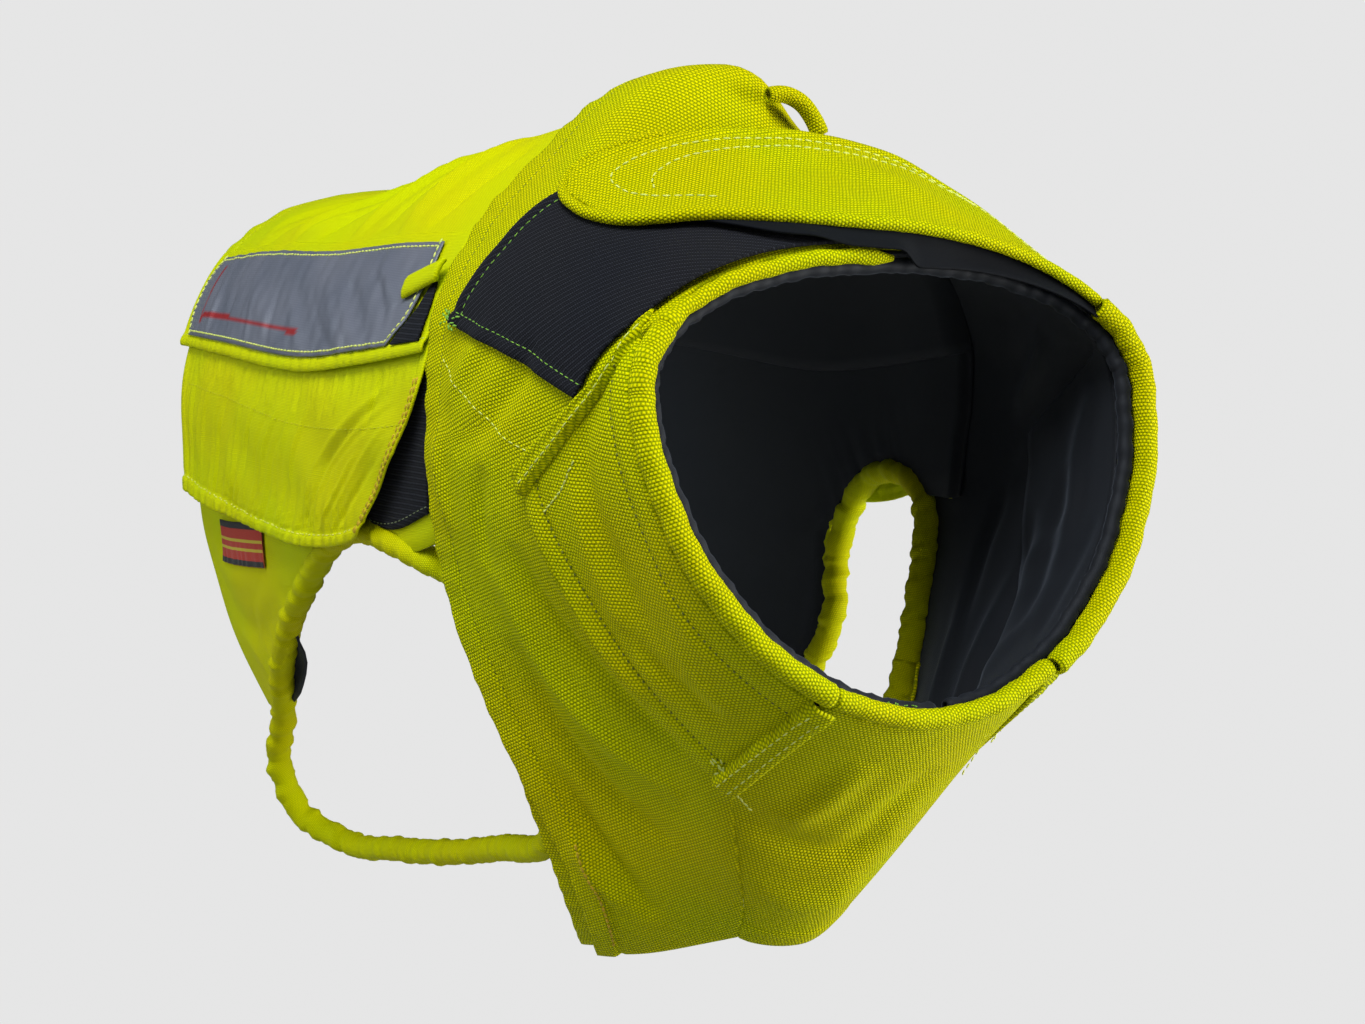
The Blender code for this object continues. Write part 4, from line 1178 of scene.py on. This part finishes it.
BINDING_RADIUS, BINDING_WALL, BINDING_FLAT = 6.1, 1.3, 0.86
for side, flip in SIDES:
    laid, strap = LEG[side]
    path = np.concatenate([raised(*np.array(laid).T), np.array(strap, float) - WITHERS])
    path = ring_line(path, 480) * (flip, 1, 1)
    chance = np.random.default_rng(3 if side == "right" else 4)
    tones = [(chance.uniform(9, 19), chance.integers(0, 2), chance.uniform(0, 6.3)) for _ in range(5)]
    tones += [(chance.uniform(4.5, 8.0), chance.integers(0, 3), chance.uniform(0, 6.3)) for _ in range(5)]

    def puckers(length, angle, tones=tones):
        """Long, slow puckers with quicker ones between them, over the fine gathers of the elastic."""
        share = sum(
            np.sin(2 * np.pi * length / period + turns * angle + phase) * (1 if period > 7 else 0.45)
            for period, turns, phase in tones
        )
        gathers = np.sin(2 * np.pi * length / 3.1 + 1.4 * np.sin(length / 9.0))
        return 0.036 * share + 0.022 * gathers * (0.6 + 0.4 * np.sin(length / 23.0))

    node, under = "leg_binding_" + side, ["belly_panel_" + side]
    size = BINDING_RADIUS, BINDING_WALL, 18
    rolled_cloth(node, path, *size, binding_cloth, "gathered", under, True, puckers, BINDING_FLAT)

# ---- Side flaps --------------------------------------------------------------------------------------------
# On each side a wide flap of the fine cloth closes over a black loop piece, and a second flap above it
# carries the reflective tape. The flap's lower hem draws it into sharp wrinkles that lean forward.
loop_fabric = woven(
    "loop_fabric", (0.9, 1.1), thread=(0.029, 0.031, 0.039), hollow=(0.003, 0.003, 0.004), wander=0.5,
    depth=0.30, rib=0.55, faded=(12.0, (0.8, 0.85, 1.0), (1.25, 1.2, 1.15)), roughness=0.85, specular=0.12,
    tint=(0.8, 0.85, 1.0), sheen=0.03, sheen_tint=(0.7, 0.8, 1.0),
)
# The black loop piece. Its two lower rows carry it forward to the chest's edge, further than its solid, so
# its black there is partly painted shade in the gap.
LOOP_AND_SHADE_ROWS = (
    ((33.6, -79), (50, -79)),
    ((33.8, -88), (51, -88)),
    ((34.9, -94.9), (43, -93.4), (50, -91.5)),
    ((36.3, -99.2), (41.4, -97.4), (46.6, -94.6)),
)
SIDE_FLAP_ROWS = (
    ((33, -73, 0.3), (97, -74, 0.3)),
    ((33.9, -84.5, 4.6), (97.2, -85, 4.6)),
    ((38.4, -90.6, 5.9), (70, -90.4, 5.9), (97.2, -91.2, 5.9)),
    ((46.4, -95.8, 6.8), (72, -94.6, 6.8), (97.2, -96.5, 6.8)),
)
FLAP_CREASES = (
    (((63.4, -94.4), (60.8, -88.6), (57.4, -82)), 2, 1.44),
    (((59.8, -94.2), (53.6, -89.8), (47, -86.2), (40, -82.2)), 2.2, -1.62),
    (((56, -94.4), (50, -91), (45.2, -88.8)), 1.8, 1.44),
    (((52, -94.6), (46.6, -91.8), (42.6, -89.8)), 1.9, -1.44),
    (((69.8, -94.4), (67, -88.8), (63.6, -82.4)), 2.1, 1.62),
    (((73.6, -94.6), (71, -88), (68.6, -81)), 2, -1.44),
    (((77, -94.8), (74.6, -90.2), (72.8, -85)), 2.2, 1.44),
    (((81.6, -94.8), (79, -88.8), (76.2, -81.2)), 2.4, -1.62),
    (((88, -95.2), (85.6, -89.6), (82.8, -83)), 2.4, 1.44),
    (((93.4, -95.2), (91.8, -89), (90, -81.6)), 2.6, -1.44),
    (((44, -86.8), (42.4, -82.4), (41.6, -78)), 2, -1.44),
    (((50.6, -84), (49.4, -80.2), (48.8, -77)), 1.8, 1.44),
    (((54.6, -84.6), (53.4, -80.6), (52.8, -77)), 1.9, -1.44),
    (((60.6, -83.2), (60.2, -79.8), (60, -77)), 1.8, -1.26),
    (((67.2, -83.4), (66.8, -80), (66.8, -77)), 1.9, 1.26),
    (((74.6, -82.6), (74.4, -79.6), (74.6, -77)), 2, -1.26),
    (((80.8, -83), (80.8, -80), (81.2, -77)), 2.2, 1.26),
    (((65.9, -94.2), (63, -87.5), (59.6, -80.2)), 2.3, 0.96),
    (((71.8, -94.4), (68.4, -88), (64.3, -80.8)), 2.5, -0.816),
    (((61.4, -94), (55, -89.2), (48.9, -85.6), (38.4, -79.8)), 2.2, 1.104),
    (((58, -93.6), (52, -90), (45, -86.8), (37.4, -83.6)), 1.9, -0.96),
    (((53.6, -93.8), (47.8, -91), (42.8, -88.6), (38.4, -85.8)), 1.9, 0.96),
    (((50.3, -94.2), (45, -91.4), (38.8, -88.6)), 1.8, -0.768),
    (((78.5, -94.6), (75, -88), (71, -81.2)), 2.75, 0.816),
    (((84.5, -95), (80.9, -89.5), (76.9, -82.2)), 2.75, -0.72),
    (((91, -95.2), (88, -89), (85, -82)), 2.75, 0.672),
    (((68.4, -94.6), (66.2, -90.4), (62.6, -85.4)), 1.6, -0.72),
    (((75, -94.8), (73.2, -91), (70.8, -86.4)), 1.7, 0.576),
    (((95.6, -94.8), (94.2, -88.6), (92.6, -80.2)), 2.5, -0.576),
)


def on_face(face, places):
    """Line just over a sheet's outer face through (share down, share across) places."""
    path = np.clip(even_line(places, 16 * len(places)), 0, 1) * (face.shape[0] - 1.001, face.shape[1] - 1.001)
    low = path.astype(int)
    part = path - low
    r, c = low.T
    one = face[r, c] * (1 - part[:, 1:]) + face[r, c + 1] * part[:, 1:]
    two = face[r + 1, c] * (1 - part[:, 1:]) + face[r + 1, c + 1] * part[:, 1:]
    normal = np.cross(face[r + 1, c] - face[r, c], face[r, c + 1] - face[r, c])
    normal /= np.linalg.norm(normal, axis=1, keepdims=True)
    line = one * (1 - part[:, :1]) + two * part[:, :1]
    outer = np.sign((normal * (line - (0, line[:, 1].mean(), -40))).sum(1))[:, None]
    return line + normal * outer * 0.15


BELLY_FACE = BELLY_OUT + FINE_WALL
LOOP_WALL = 1.4
loop_grid, flap_grid = cut_grid(LOOP_AND_SHADE_ROWS, 1.8), cut_grid(SIDE_FLAP_ROWS, 1.4)
for side, flip in SIDES:
    grid, under = loop_grid * (1, flip), ["belly_panel_" + side]
    lift = back_lift(grid[..., 0], grid[..., 1]) * 0.8
    node = "side_loop_" + side
    face = sheet_of_cloth(node, grid, BELLY_FACE + 0.3, LOOP_WALL, lift, loop_fabric)
    rows = ("last", 2.5, (0.04, 0.96)), ("rear", 2.5, (0.05, 0.95))
    sew_edges("loop_stitches_" + side, face, rows, dull_thread, 2.2, 0.8, 0.45)
    creases = FLAP_CREASES
    if side == "left":
        creases = [
            (
                [(run + 1.6 + 0.9 * math.sin(2.1 * place), -turn) for run, turn in path],
                width * 1.1,
                height * (0.85 + 0.3 * math.cos(1.7 * place)),
            )
            for place, (path, width, height) in enumerate(FLAP_CREASES)
        ]
    grid = flap_grid * (1, flip, 1)
    run, turn = grid[..., 0], grid[..., 1]
    base, reach = form(run, turn), reach_on(grid, BELLY_FACE)
    wrinkles = creased(base, creases) + uneven(base, 40, 0.5, 21 if side == "right" else 22)
    lift = grid[..., 2] + back_lift(run, turn) * 0.5
    lift = lift + np.maximum(wrinkles * eased(reach["first"] / 26.0), 0.6 - grid[..., 2])
    hem_line = grid[-1, ::14, :2]
    under_band = [(place, flip * -78.0) for place in np.linspace(35.0, 97.0, 9)]
    leaning = form(run + 0.45 * (94.5 - np.abs(turn)), turn)
    lift = lift + gathered(base, hem_line, 7.0, 0.5, 8.0, 1.3)
    lift = lift + gathered(leaning, hem_line, 21.0, 0.95, 8.6, 1.9) * eased(reach["last"] / 9.0)
    lift = lift + gathered(base, under_band, 13.0, 0.45, 6.4, 0.7) * eased((np.abs(turn) - 76.5) / 2.0)
    for edge, width, height in (("last", 7.0, 0.9), ("fore", 6.0, 0.9), ("rear", 5.0, 0.6)):
        lift = lift + hemmed(reach, (edge,), width, height)
    node = "side_flap_" + side
    face = sheet_of_cloth(node, grid, BELLY_FACE + 0.2, FINE_WALL, lift, fine_cloth)
    sew_edges("flap_stitches_" + side, face, [("last", 7.6, (0.03, 0.99))], pale_thread, 2.6, 0.8, 0.5)
    # Two thick gold lines along the flap's folded front edge: painted shade of the turned edge.
    rows = ("fore", 5.4, (0.3, 0.97)), ("fore", 1.6, (0.3, 0.985))
    sew_edges("flap_fold_shade_" + side, face, rows, fold_shade_thread, 3.4, 0.1, 1.4)
    cross = on_face(face, ((0.52, 0.02), (0.50, 0.3), (0.50, 0.6), (0.52, 0.95)))
    sew("flap_cross_stitches_" + side, [cross], yellow_thread, 2.4, 1.0, 0.4)

# ---- Reflective bands --------------------------------------------------------------------------------------
# A flap of the fine cloth over the top of each side flap, with 50 mm reflective tape sewn on and a bound
# lower edge. Black loop fabric shows between the tape's front end and the chest, and a short tab of doubled
# cloth lies over it.
BAND_ROWS = (
    ((35, -52, 0.2), (98, -52, 0.2)),
    ((33.5, -66, 2.4), (98.6, -66, 2.4)),
    ((33, -76.5, 6), (99, -78.5, 6)),
)
TAPE_ROWS = (
    ((38.4, -54.6, 0.5), (94.6, -54.8, 0.5)),
    ((37.6, -60, 1.2), (95.8, -60, 1.2)),
    ((37.2, -66, 2.5), (96.2, -66, 2.5)),
    ((37.8, -70, 3.9), (96.4, -71, 3.9)),
    ((40.4, -74.6, 5.5), (95.6, -76, 5.5)),
)
BACKING_ROWS = (
    ((35.2, -63.5, 2), (36, -63.5, 2)),
    ((34.4, -68, 3.2), (36.6, -68, 3.2)),
    ((33.9, -74.6, 5.9), (39.4, -74.6, 5.9)),
)
TAB_ROWS = (((34.4, -59.6), (39.6, -62.6)), ((34.4, -63.4), (39.6, -66.4)))
BAND_CREASES = (
    (((41.4, -72), (44.6, -66), (49, -60)), 2.6, -0.8),
    (((46.2, -75), (50.8, -69.5), (56.4, -62)), 2.8, 0.8),
    (((51, -76), (56.6, -70.6), (63, -62)), 3, -0.8),
    (((58.6, -76), (62.4, -71), (67, -64)), 3, 0.7),
    (((67.4, -76), (68.6, -70), (70.2, -62)), 3.2, -0.9),
    (((73, -75), (74, -69), (75, -62)), 3.2, 0.8),
    (((79.4, -76), (80.2, -70), (81, -63)), 3.4, -0.8),
    (((86.6, -76), (87, -69), (88.2, -60)), 3.6, 0.8),
    (((44, -74), (49, -68), (55, -60)), 5, -1.3),
    (((48, -76), (54, -69), (60, -60)), 5, 1.2),
    (((54, -76), (60, -70), (67, -61)), 6, -1.1),
    (((41, -68), (44.5, -63), (49, -57)), 4.5, 1.1),
    (((63, -76), (70, -70), (78, -62)), 7, 0.9),
    (((80, -76), (84, -69), (90, -60)), 7, -0.8),
)
BAND_OUT = FINE_OUT + FINE_WALL + 0.6
BAND_FACE = BAND_OUT + FINE_WALL
TAPE_WALL, BACKING_WALL, TAB_LIFT, TAB_WALL = 0.8, 0.7, 5.5, 2.2
STRIPE_FROM_REAR, STRIPE_OVER_EDGE = 17.0, 11.0
band_grid, tape_grid = cut_grid(BAND_ROWS, 1.7), cut_grid(TAPE_ROWS, 1.6)
backing_grid, tab_grid = cut_grid(BACKING_ROWS, 1.4), cut_grid(TAB_ROWS, 1.2)
reflective_tape = woven(
    "reflective_tape", (1.1, 1.1), thread=(0.195, 0.213, 0.285), hollow=(0.140, 0.152, 0.205), wander=0.1,
    depth=0.04, blend=0.9, faded=(30.0, (0.86, 0.88, 0.9), (1.12, 1.1, 1.08)), roughness=0.38, specular=0.5,
    tint=(0.85, 0.92, 1.0),
)
tree = reflective_tape.node_tree
shader = tree.nodes["Principled BSDF"]
shader.inputs["Metallic"].default_value = 0.15
bare = shader.inputs["Base Color"].links[0].from_socket
printed = wire(tree, "ShaderNodeAttribute", attribute_name="stripe").outputs["Fac"]
ink = wire(tree, "ShaderNodeMix", {"Factor": printed, 6: bare, 7: (0.36, 0.02, 0.025, 1)}, data_type="RGBA")
tree.links.new(ink.outputs[2], shader.inputs["Base Color"])


def marked(node, attribute, values):
    """Writes a value for each grid point on both faces of a finished sheet."""
    mesh = bpy.data.objects[node + "_cloth"].data
    whole = np.zeros(len(mesh.vertices))
    whole[: 2 * values.size] = np.tile(values.ravel(), 2)
    mesh.attributes.new(attribute, "FLOAT", "POINT").data.foreach_set("value", whole)


for side, flip in SIDES:
    creases = [([(run, flip * turn) for run, turn in path], *size) for path, *size in BAND_CREASES]
    for node, table, out, wall, cloth, held, under in (
        ("band_flap_", band_grid, BAND_OUT, FINE_WALL, fine_cloth, "hung", "side_flap_"),
        ("reflective_tape_", tape_grid, BAND_FACE + 0.5, TAPE_WALL, reflective_tape, "laid", "band_flap_"),
        ("band_loop_", backing_grid, BAND_FACE + 0.4, BACKING_WALL, loop_fabric, "laid", "band_flap_"),
    ):
        grid = table * (1, flip, 1)
        run, turn = grid[..., 0], grid[..., 1]
        base, reach = form(run, turn), reach_on(grid, out)
        folds = np.maximum(creased(base, creases), -1.0) * eased((np.abs(turn) - 54) / 8)
        lift = grid[..., 2] + back_lift(run, turn) * 0.5 + folds
        if node == "band_flap_":
            lift = lift + 1.3 * near(reach["last"], 2.0, 2.6) + 0.8 * near(reach["rear"], 2.0, 2.4)
            lift = lift + gathered(base, grid[-1, ::14, :2], 6.0, 0.35, 9.0, 0.5)
        if node == "reflective_tape_":
            lift = lift + uneven(base, 11, 0.2, 41) + 0.2
        face = sheet_of_cloth(node + side, grid, out, wall, lift, cloth)
        if node == "band_flap_":
            rows = [("last", 5.6, (0.01, 0.99))]
            sew_edges("band_stitches_" + side, face, rows, pale_thread, 2.4, 0.8, 0.4)
        if node == "reflective_tape_":
            first, last, rear = (reach[edge] for edge in ("first", "last", "rear"))
            upright = (np.abs(rear - STRIPE_FROM_REAR) < 1.0) & (last > 6) & (first > 6)
            level = (np.abs(last - STRIPE_OVER_EDGE) < 0.9) & (rear > 19) & (rear < 152)
            marked(node + side, "stripe", (upright | level) & (side == "right"))
            rows = [(edge, 2.0, (0.02, 0.98)) for edge in ("first", "last", "fore", "rear")]
            sew_edges("tape_stitches_" + side, face, rows, pale_thread, 3.0, 0.2, 1.0)
    grid, under = tab_grid * (1, flip), ["band_flap_" + side]
    reach = reach_on(grid, TAB_LIFT)
    crown = 0.7 * np.minimum(1, np.minimum(reach["first"], reach["last"]) / 2.0)
    lift = crown + back_lift(grid[..., 0], grid[..., 1]) * 0.5
    node = "pull_tab_" + side
    sheet_of_cloth(node, grid, BAND_OUT + TAB_LIFT, TAB_WALL, lift, fine_cloth)

# ---- Side label --------------------------------------------------------------------------------------------
# A small tab of ribbed woven ribbon, sewn flat on the belly panel at the right side's lower edge. It is
# left plain: dark borders above and below, and two bare bars between them.
LABEL_ROWS = (((71.8, -94.8), (86.8, -97.6)), ((72, -99.2), (86.8, -102.6)))
DARK, RED, STRAW = (0.012, 0.014, 0.02, 1), (0.50, 0.035, 0.02, 1), (0.62, 0.50, 0.03, 1)
label_cloth, tree, shader = new_material("side_label", 0.6, 0.3, (1, 1, 1), 0.1)
share = wire(tree, "ShaderNodeAttribute", attribute_name="across_label").outputs["Fac"]
ramp = wire(tree, "ShaderNodeValToRGB", {"Fac": share})
ramp.color_ramp.interpolation = "CONSTANT"
for place, tone in ((0.13, RED), (0.36, STRAW), (0.43, RED), (0.57, STRAW), (0.64, RED), (0.86, DARK)):
    ramp.color_ramp.elements.new(place).color = tone
for end in (0, -1):
    ramp.color_ramp.elements[end].color = DARK
tree.links.new(ramp.outputs[0], shader.inputs["Base Color"])
ribs = group_node(tree, weave, Pitch_across=0.0005, Pitch_up=0.0005)
emboss(tree, shader, ribs, 0.05)
grid = cut_grid(LABEL_ROWS, 1.0)
run, turn = grid[..., 0], grid[..., 1]
lift = back_lift(run, turn) + gathered(form(run, turn), grid[-1], 8.0, 0.3, 9.0, 0.2)
upper, lower = raised([80.0, 80.3], [-97.2, -101.2], BELLY_FACE)
under = ["belly_panel_right"]
sheet_of_cloth("side_label", grid, BELLY_FACE + 0.7, 0.6, lift, label_cloth, upper - lower)
marked("side_label", "across_label", np.repeat(np.linspace(0, 1, grid.shape[0]), grid.shape[1]))

# ---- Nape closure ------------------------------------------------------------------------------------------
# A black ribbed loop patch on the right shoulder, its rear and lower edges folded and sewn in green, and
# over it the curved flap that comes across from the left with its hook lining, sewn down in two rows round
# its tip.
PATCH_ROWS = (
    ((1.4, 0.3, 0.2), (14.6, 0.3, 0.6)),
    ((1.7, -26, 1.2), (19.5, -25.6, 1.2)),
    ((1.7, -44, 1.6), (24, -42.4, 1.6)),
    ((2.6, -60, 0.6), (26, -58.4, 0.6)),
    ((6.4, -78, 0), (14, -73.5, 0), (27.2, -67, 0)),
    ((8.8, -88, 0), (17, -80, 0), (28, -72.4, 0)),
)
PATCH_GRAIN, NAPE_GRAIN = (0.37, 0.64, 0.56), (0, 1, 0.2)
FLAP_STITCH_ROWS = (4.2, 8.4)
grid = cut_grid(PATCH_ROWS, 1.5)
reach, under, out = reach_on(grid, OVER_HEAVY), ["side_panel_right"], OVER_HEAVY - 0.2
lift = chest_lift(grid[..., 0], grid[..., 1]) + grid[..., 2]
lift = lift + hemmed(reach, ("rear",), 4.0, 0.8) + hemmed(reach, ("last",), 4.0, 0.8)
face = sheet_of_cloth("loop_patch", grid, out, LOOP_WALL, lift, loop_fabric, PATCH_GRAIN)
rows = ("rear", 4.8, (0.02, 0.97)), ("last", 4.8, (0.02, 0.98))
sew_edges("patch_stitches", face, rows, green_thread, 2.4, 0.8, 0.45)
knot = [
    on_chest(((28.6 + aside, -71.6 + down), (27.2 - aside, -72.6 - down)), 6.8, 5)
    for aside, down in ((0.4, 0.6), (-0.5, 0.8), (0.6, -1.0), (0.0, 1.2))
]
sew("patch_knot", knot, green_thread, 2.4, 0.2, 0.8, 0.4)

FLAP_ROWS = (
    ((0.8, 58, 0), (5, 58, 0)),
    ((0.5, 46, 1.2), (9, 46, 1.6)),
    ((0.4, 32, 3.4), (14, 32, 4.6)),
    ((0.5, 18, 5.8), (18, 16, 7.4)),
    ((1.2, 4, 7.6), (20, 2, 8)),
    ((3, -9, 7.4), (21.5, -10, 7.4)),
    ((5.6, -20, 6.8), (22.6, -21, 6.8)),
    ((9.2, -31, 6.2), (23.4, -31, 6.2)),
    ((12, -38, 5.6), (23.4, -37.6, 5.8)),
    ((15.6, -42.6, 4.8), (21.4, -42.2, 5)),
)
FLAP_SOFT = (
    (((3, 20), (8, 14), (13, 4), (17, -8)), 10, 1.2),
    (((9, -16), (12, -10), (14, 2), (13, 14)), 9, -0.9),
    (((16, -36), (18, -30), (19, -20)), 6, -0.7),
)


def flap_folds(run, turn):
    return creased(form(run, turn), FLAP_SOFT) * eased((30 - turn) / 20)


grid = cut_grid(FLAP_ROWS, 1.5)
run, turn = grid[..., 0], grid[..., 1]
reach = reach_on(grid, 10)
lift = chest_lift(run, turn) + grid[..., 2] + flap_folds(run, turn) + uneven(form(run, turn), 30, 0.25, 31)
for inset in FLAP_STITCH_ROWS:
    lift = lift - 0.45 * near(np.minimum(reach["rear"], reach["last"]), inset, 1.2)
lift = lift + 0.35 * before(reach["rear"], 2.4, 2.0) + 0.35 * before(reach["fore"], 3.0, 2.0)
node, under = "closure_flap", ["loop_patch"]
face = sheet_of_cloth(node, grid, OVER_HEAVY, HEAVY_WALL, lift, heavy_weave, NAPE_GRAIN)
tip_start, tip_rows = (0.30, 0.80), (
    (
        (0.30, 0.86), (0.42, 0.89), (0.55, 0.89), (0.70, 0.88), (0.82, 0.85), (0.905, 0.74), (0.935, 0.52),
        (0.90, 0.30), (0.82, 0.18),
    ),
    ((0.30, 0.75), (0.42, 0.79), (0.55, 0.79), (0.70, 0.77), (0.79, 0.72), (0.865, 0.58), (0.885, 0.44)),
    ((0.30, 0.80), (0.22, 0.62), (0.15, 0.42), (0.09, 0.22)),
)
sew("nape_stitches", [on_face(face, row) for row in tip_rows], pale_thread, 3.2, 0.9, 0.7)
star = [
    on_face(face, (np.add(tip_start, way), np.subtract(tip_start, way)))
    for way in ((0.010, 0.06), (-0.012, 0.05), (0.016, -0.01), (0.004, 0.09))
]
sew("nape_tack", star, pale_thread, 2.4, 0.2, 0.6, 0.2)

# The lining comes forward of the flap's edge and turns down over the neck edge on the left.
FLAP_LINING_FORE = (-0.9, -1.0, -1.0, -1.0, -1.2, 0.3, 2.6, 8.4, 11.8, 15.8)
HOOK_OUT, HOOK_WALL = OVER_HEAVY - 1.6, 1.2
# The flap's lining is a darker, duller copy of the black lining: its darker colour is painted shade.
shaded_hook_lining = woven(
    "shaded_hook_lining", (0.42, 0.42), thread=(0.0080, 0.0090, 0.0120), hollow=(0.004, 0.0045, 0.006), wander=0.2,
    depth=0.03, blend=0.7, roughness=0.75, specular=0.10, tint=(0.75, 0.84, 1.0),
)
rows = [
    ((fore, *start[1:]), (end[0] - 0.5, *end[1:])) for fore, (start, end) in zip(FLAP_LINING_FORE, FLAP_ROWS)
]
grid = cut_grid(rows, 2.0)
run, turn = grid[..., 0], grid[..., 1]
lift = chest_lift(run, turn) + grid[..., 2] + flap_folds(run, turn) * 0.9 - 0.2
edge_out = 6.6 - 6.8 * eased((turn - 0.8) / 5)
ahead_of_patch = before(reach_on(grid, 9.0)["fore"], 0, 8.0) * eased((turn + 16) / 9)
lift = lift - (lift + HOOK_OUT - edge_out) * ahead_of_patch
under = ["closure_flap"]
sheet_of_cloth("flap_lining", grid, HOOK_OUT, HOOK_WALL, lift, shaded_hook_lining, NAPE_GRAIN)

# A small loop rolled from the heavy weave stands behind the flap.
NAPE_LOOP = ((-1, 98.8, 139.6), (6, 97.6, 140), (12.6, 96.2, 137), (17.6, 95.2, 131), (20.5, 94, 124.7))
NAPE_RADIUS, NAPE_WALL = 4.2, 1.2
path, under = even_line(np.array(NAPE_LOOP) - WITHERS, 40), ["side_panel_right"]
rolled_cloth("nape_loop", path, NAPE_RADIUS, NAPE_WALL, 16, heavy_weave, "folded", under, flat=0.8)

# ---- Neck rim ----------------------------------------------------------------------------------------------
# The neck edge turned and rolled in five lapped lengths of the heavy weave, with thread ends at the laps,
# and inside it the soft puckered edge of the black lining.
def rim_path(first, last, run, out, sunk=0.0):
    """Line along the neck edge, sunk where it passes under the closure flap."""
    turn = np.linspace(first, last, int(abs(last - first)) + 2)
    out = out - sunk * eased((turn + 5) / 6)
    return raised(run, turn, out + 0.25 * np.sin(turn * 0.31) + 0.18 * np.sin(turn * 0.83 + 1))


def rim_pucker(length, angle):
    return 0.022 * np.sin(length * 0.52 + angle) + 0.018 * np.sin(length * 1.21 - 2 * angle + 1.0)


def top_pucker(length, angle):
    """Fuller at the lap on the right, and drawn in under the closure flap."""
    drawn_in = 0.5 * eased((length - length.max() + 9.0) / 9.0)
    return rim_pucker(length, angle) - drawn_in + 0.4 * eased((10.0 - length) / 10.0)


def piping_pucker(length, angle):
    slow = 0.085 * np.sin(length * 0.78 + 0.9 * np.sin(length * 0.21)) * (1 + 0.3 * np.cos(angle))
    return slow + 0.035 * np.sin(length * 1.7 + angle)


for node, under, first, last, run, out, sunk, radius, pucker in (
    ("rim_throat", "throat_panel", 152.8, 207.2, 0.1, 2.4, 0.0, 3.8, rim_pucker),
    ("rim_insert_right", "collar_insert_right", -61.8, -152.4, -0.2, 4.0, 0.0, 4.4, rim_pucker),
    ("rim_insert_left", "collar_insert_left", 57.6, 152.4, -0.2, 3.6, 0.0, 4.4, rim_pucker),
    ("rim_top", "side_panel_right", -61.2, 1.5, 0.3, 2.2, 1.6, 2.9, top_pucker),
):
    path = rim_path(first, last, run, out, sunk)
    rolled_cloth(node, path, radius, 1.5, 18, heavy_weave, "folded", [under], puckers=pucker)
path, under = rim_path(-178, 178, 0.8, -3.3), ["throat_lining"]
rolled_cloth("rim_piping", path, 2.9, 1.0, 14, black_lining, "gathered", under, puckers=piping_pucker)
ROUND_TIP = (
    (18.0, -44.0, 4.6), (21.2, -43.2, 4.8), (23.4, -39.6, 5.4), (24.0, -35.0, 6.0), (23.8, -28.0, 6.6),
    (23.0, -20.0, 7.0),
)
edge = even_line(np.vstack([np.array([row[0] for row in FLAP_ROWS]) - (0.5, 0, 0), ROUND_TIP]), 230)
run, turn, lift = edge.T
path = raised(run, turn, OVER_HEAVY + 0.7 + lift + chest_lift(run, turn))
rolled_cloth("rim_flap", path, 2.3, 0.9, 14, heavy_weave, "folded", ["closure_flap"], puckers=rim_pucker)
ends = [
    raised((-0.6, 0.4), (195.0 - place * 2.2, 194.2 - place * 2.0), (-1.0, -3.4 - place % 2))
    for place in range(4)
]
sew("rim_thread_ends", ends, green_thread, 1.8, 0.3, 0.6, 0.4)
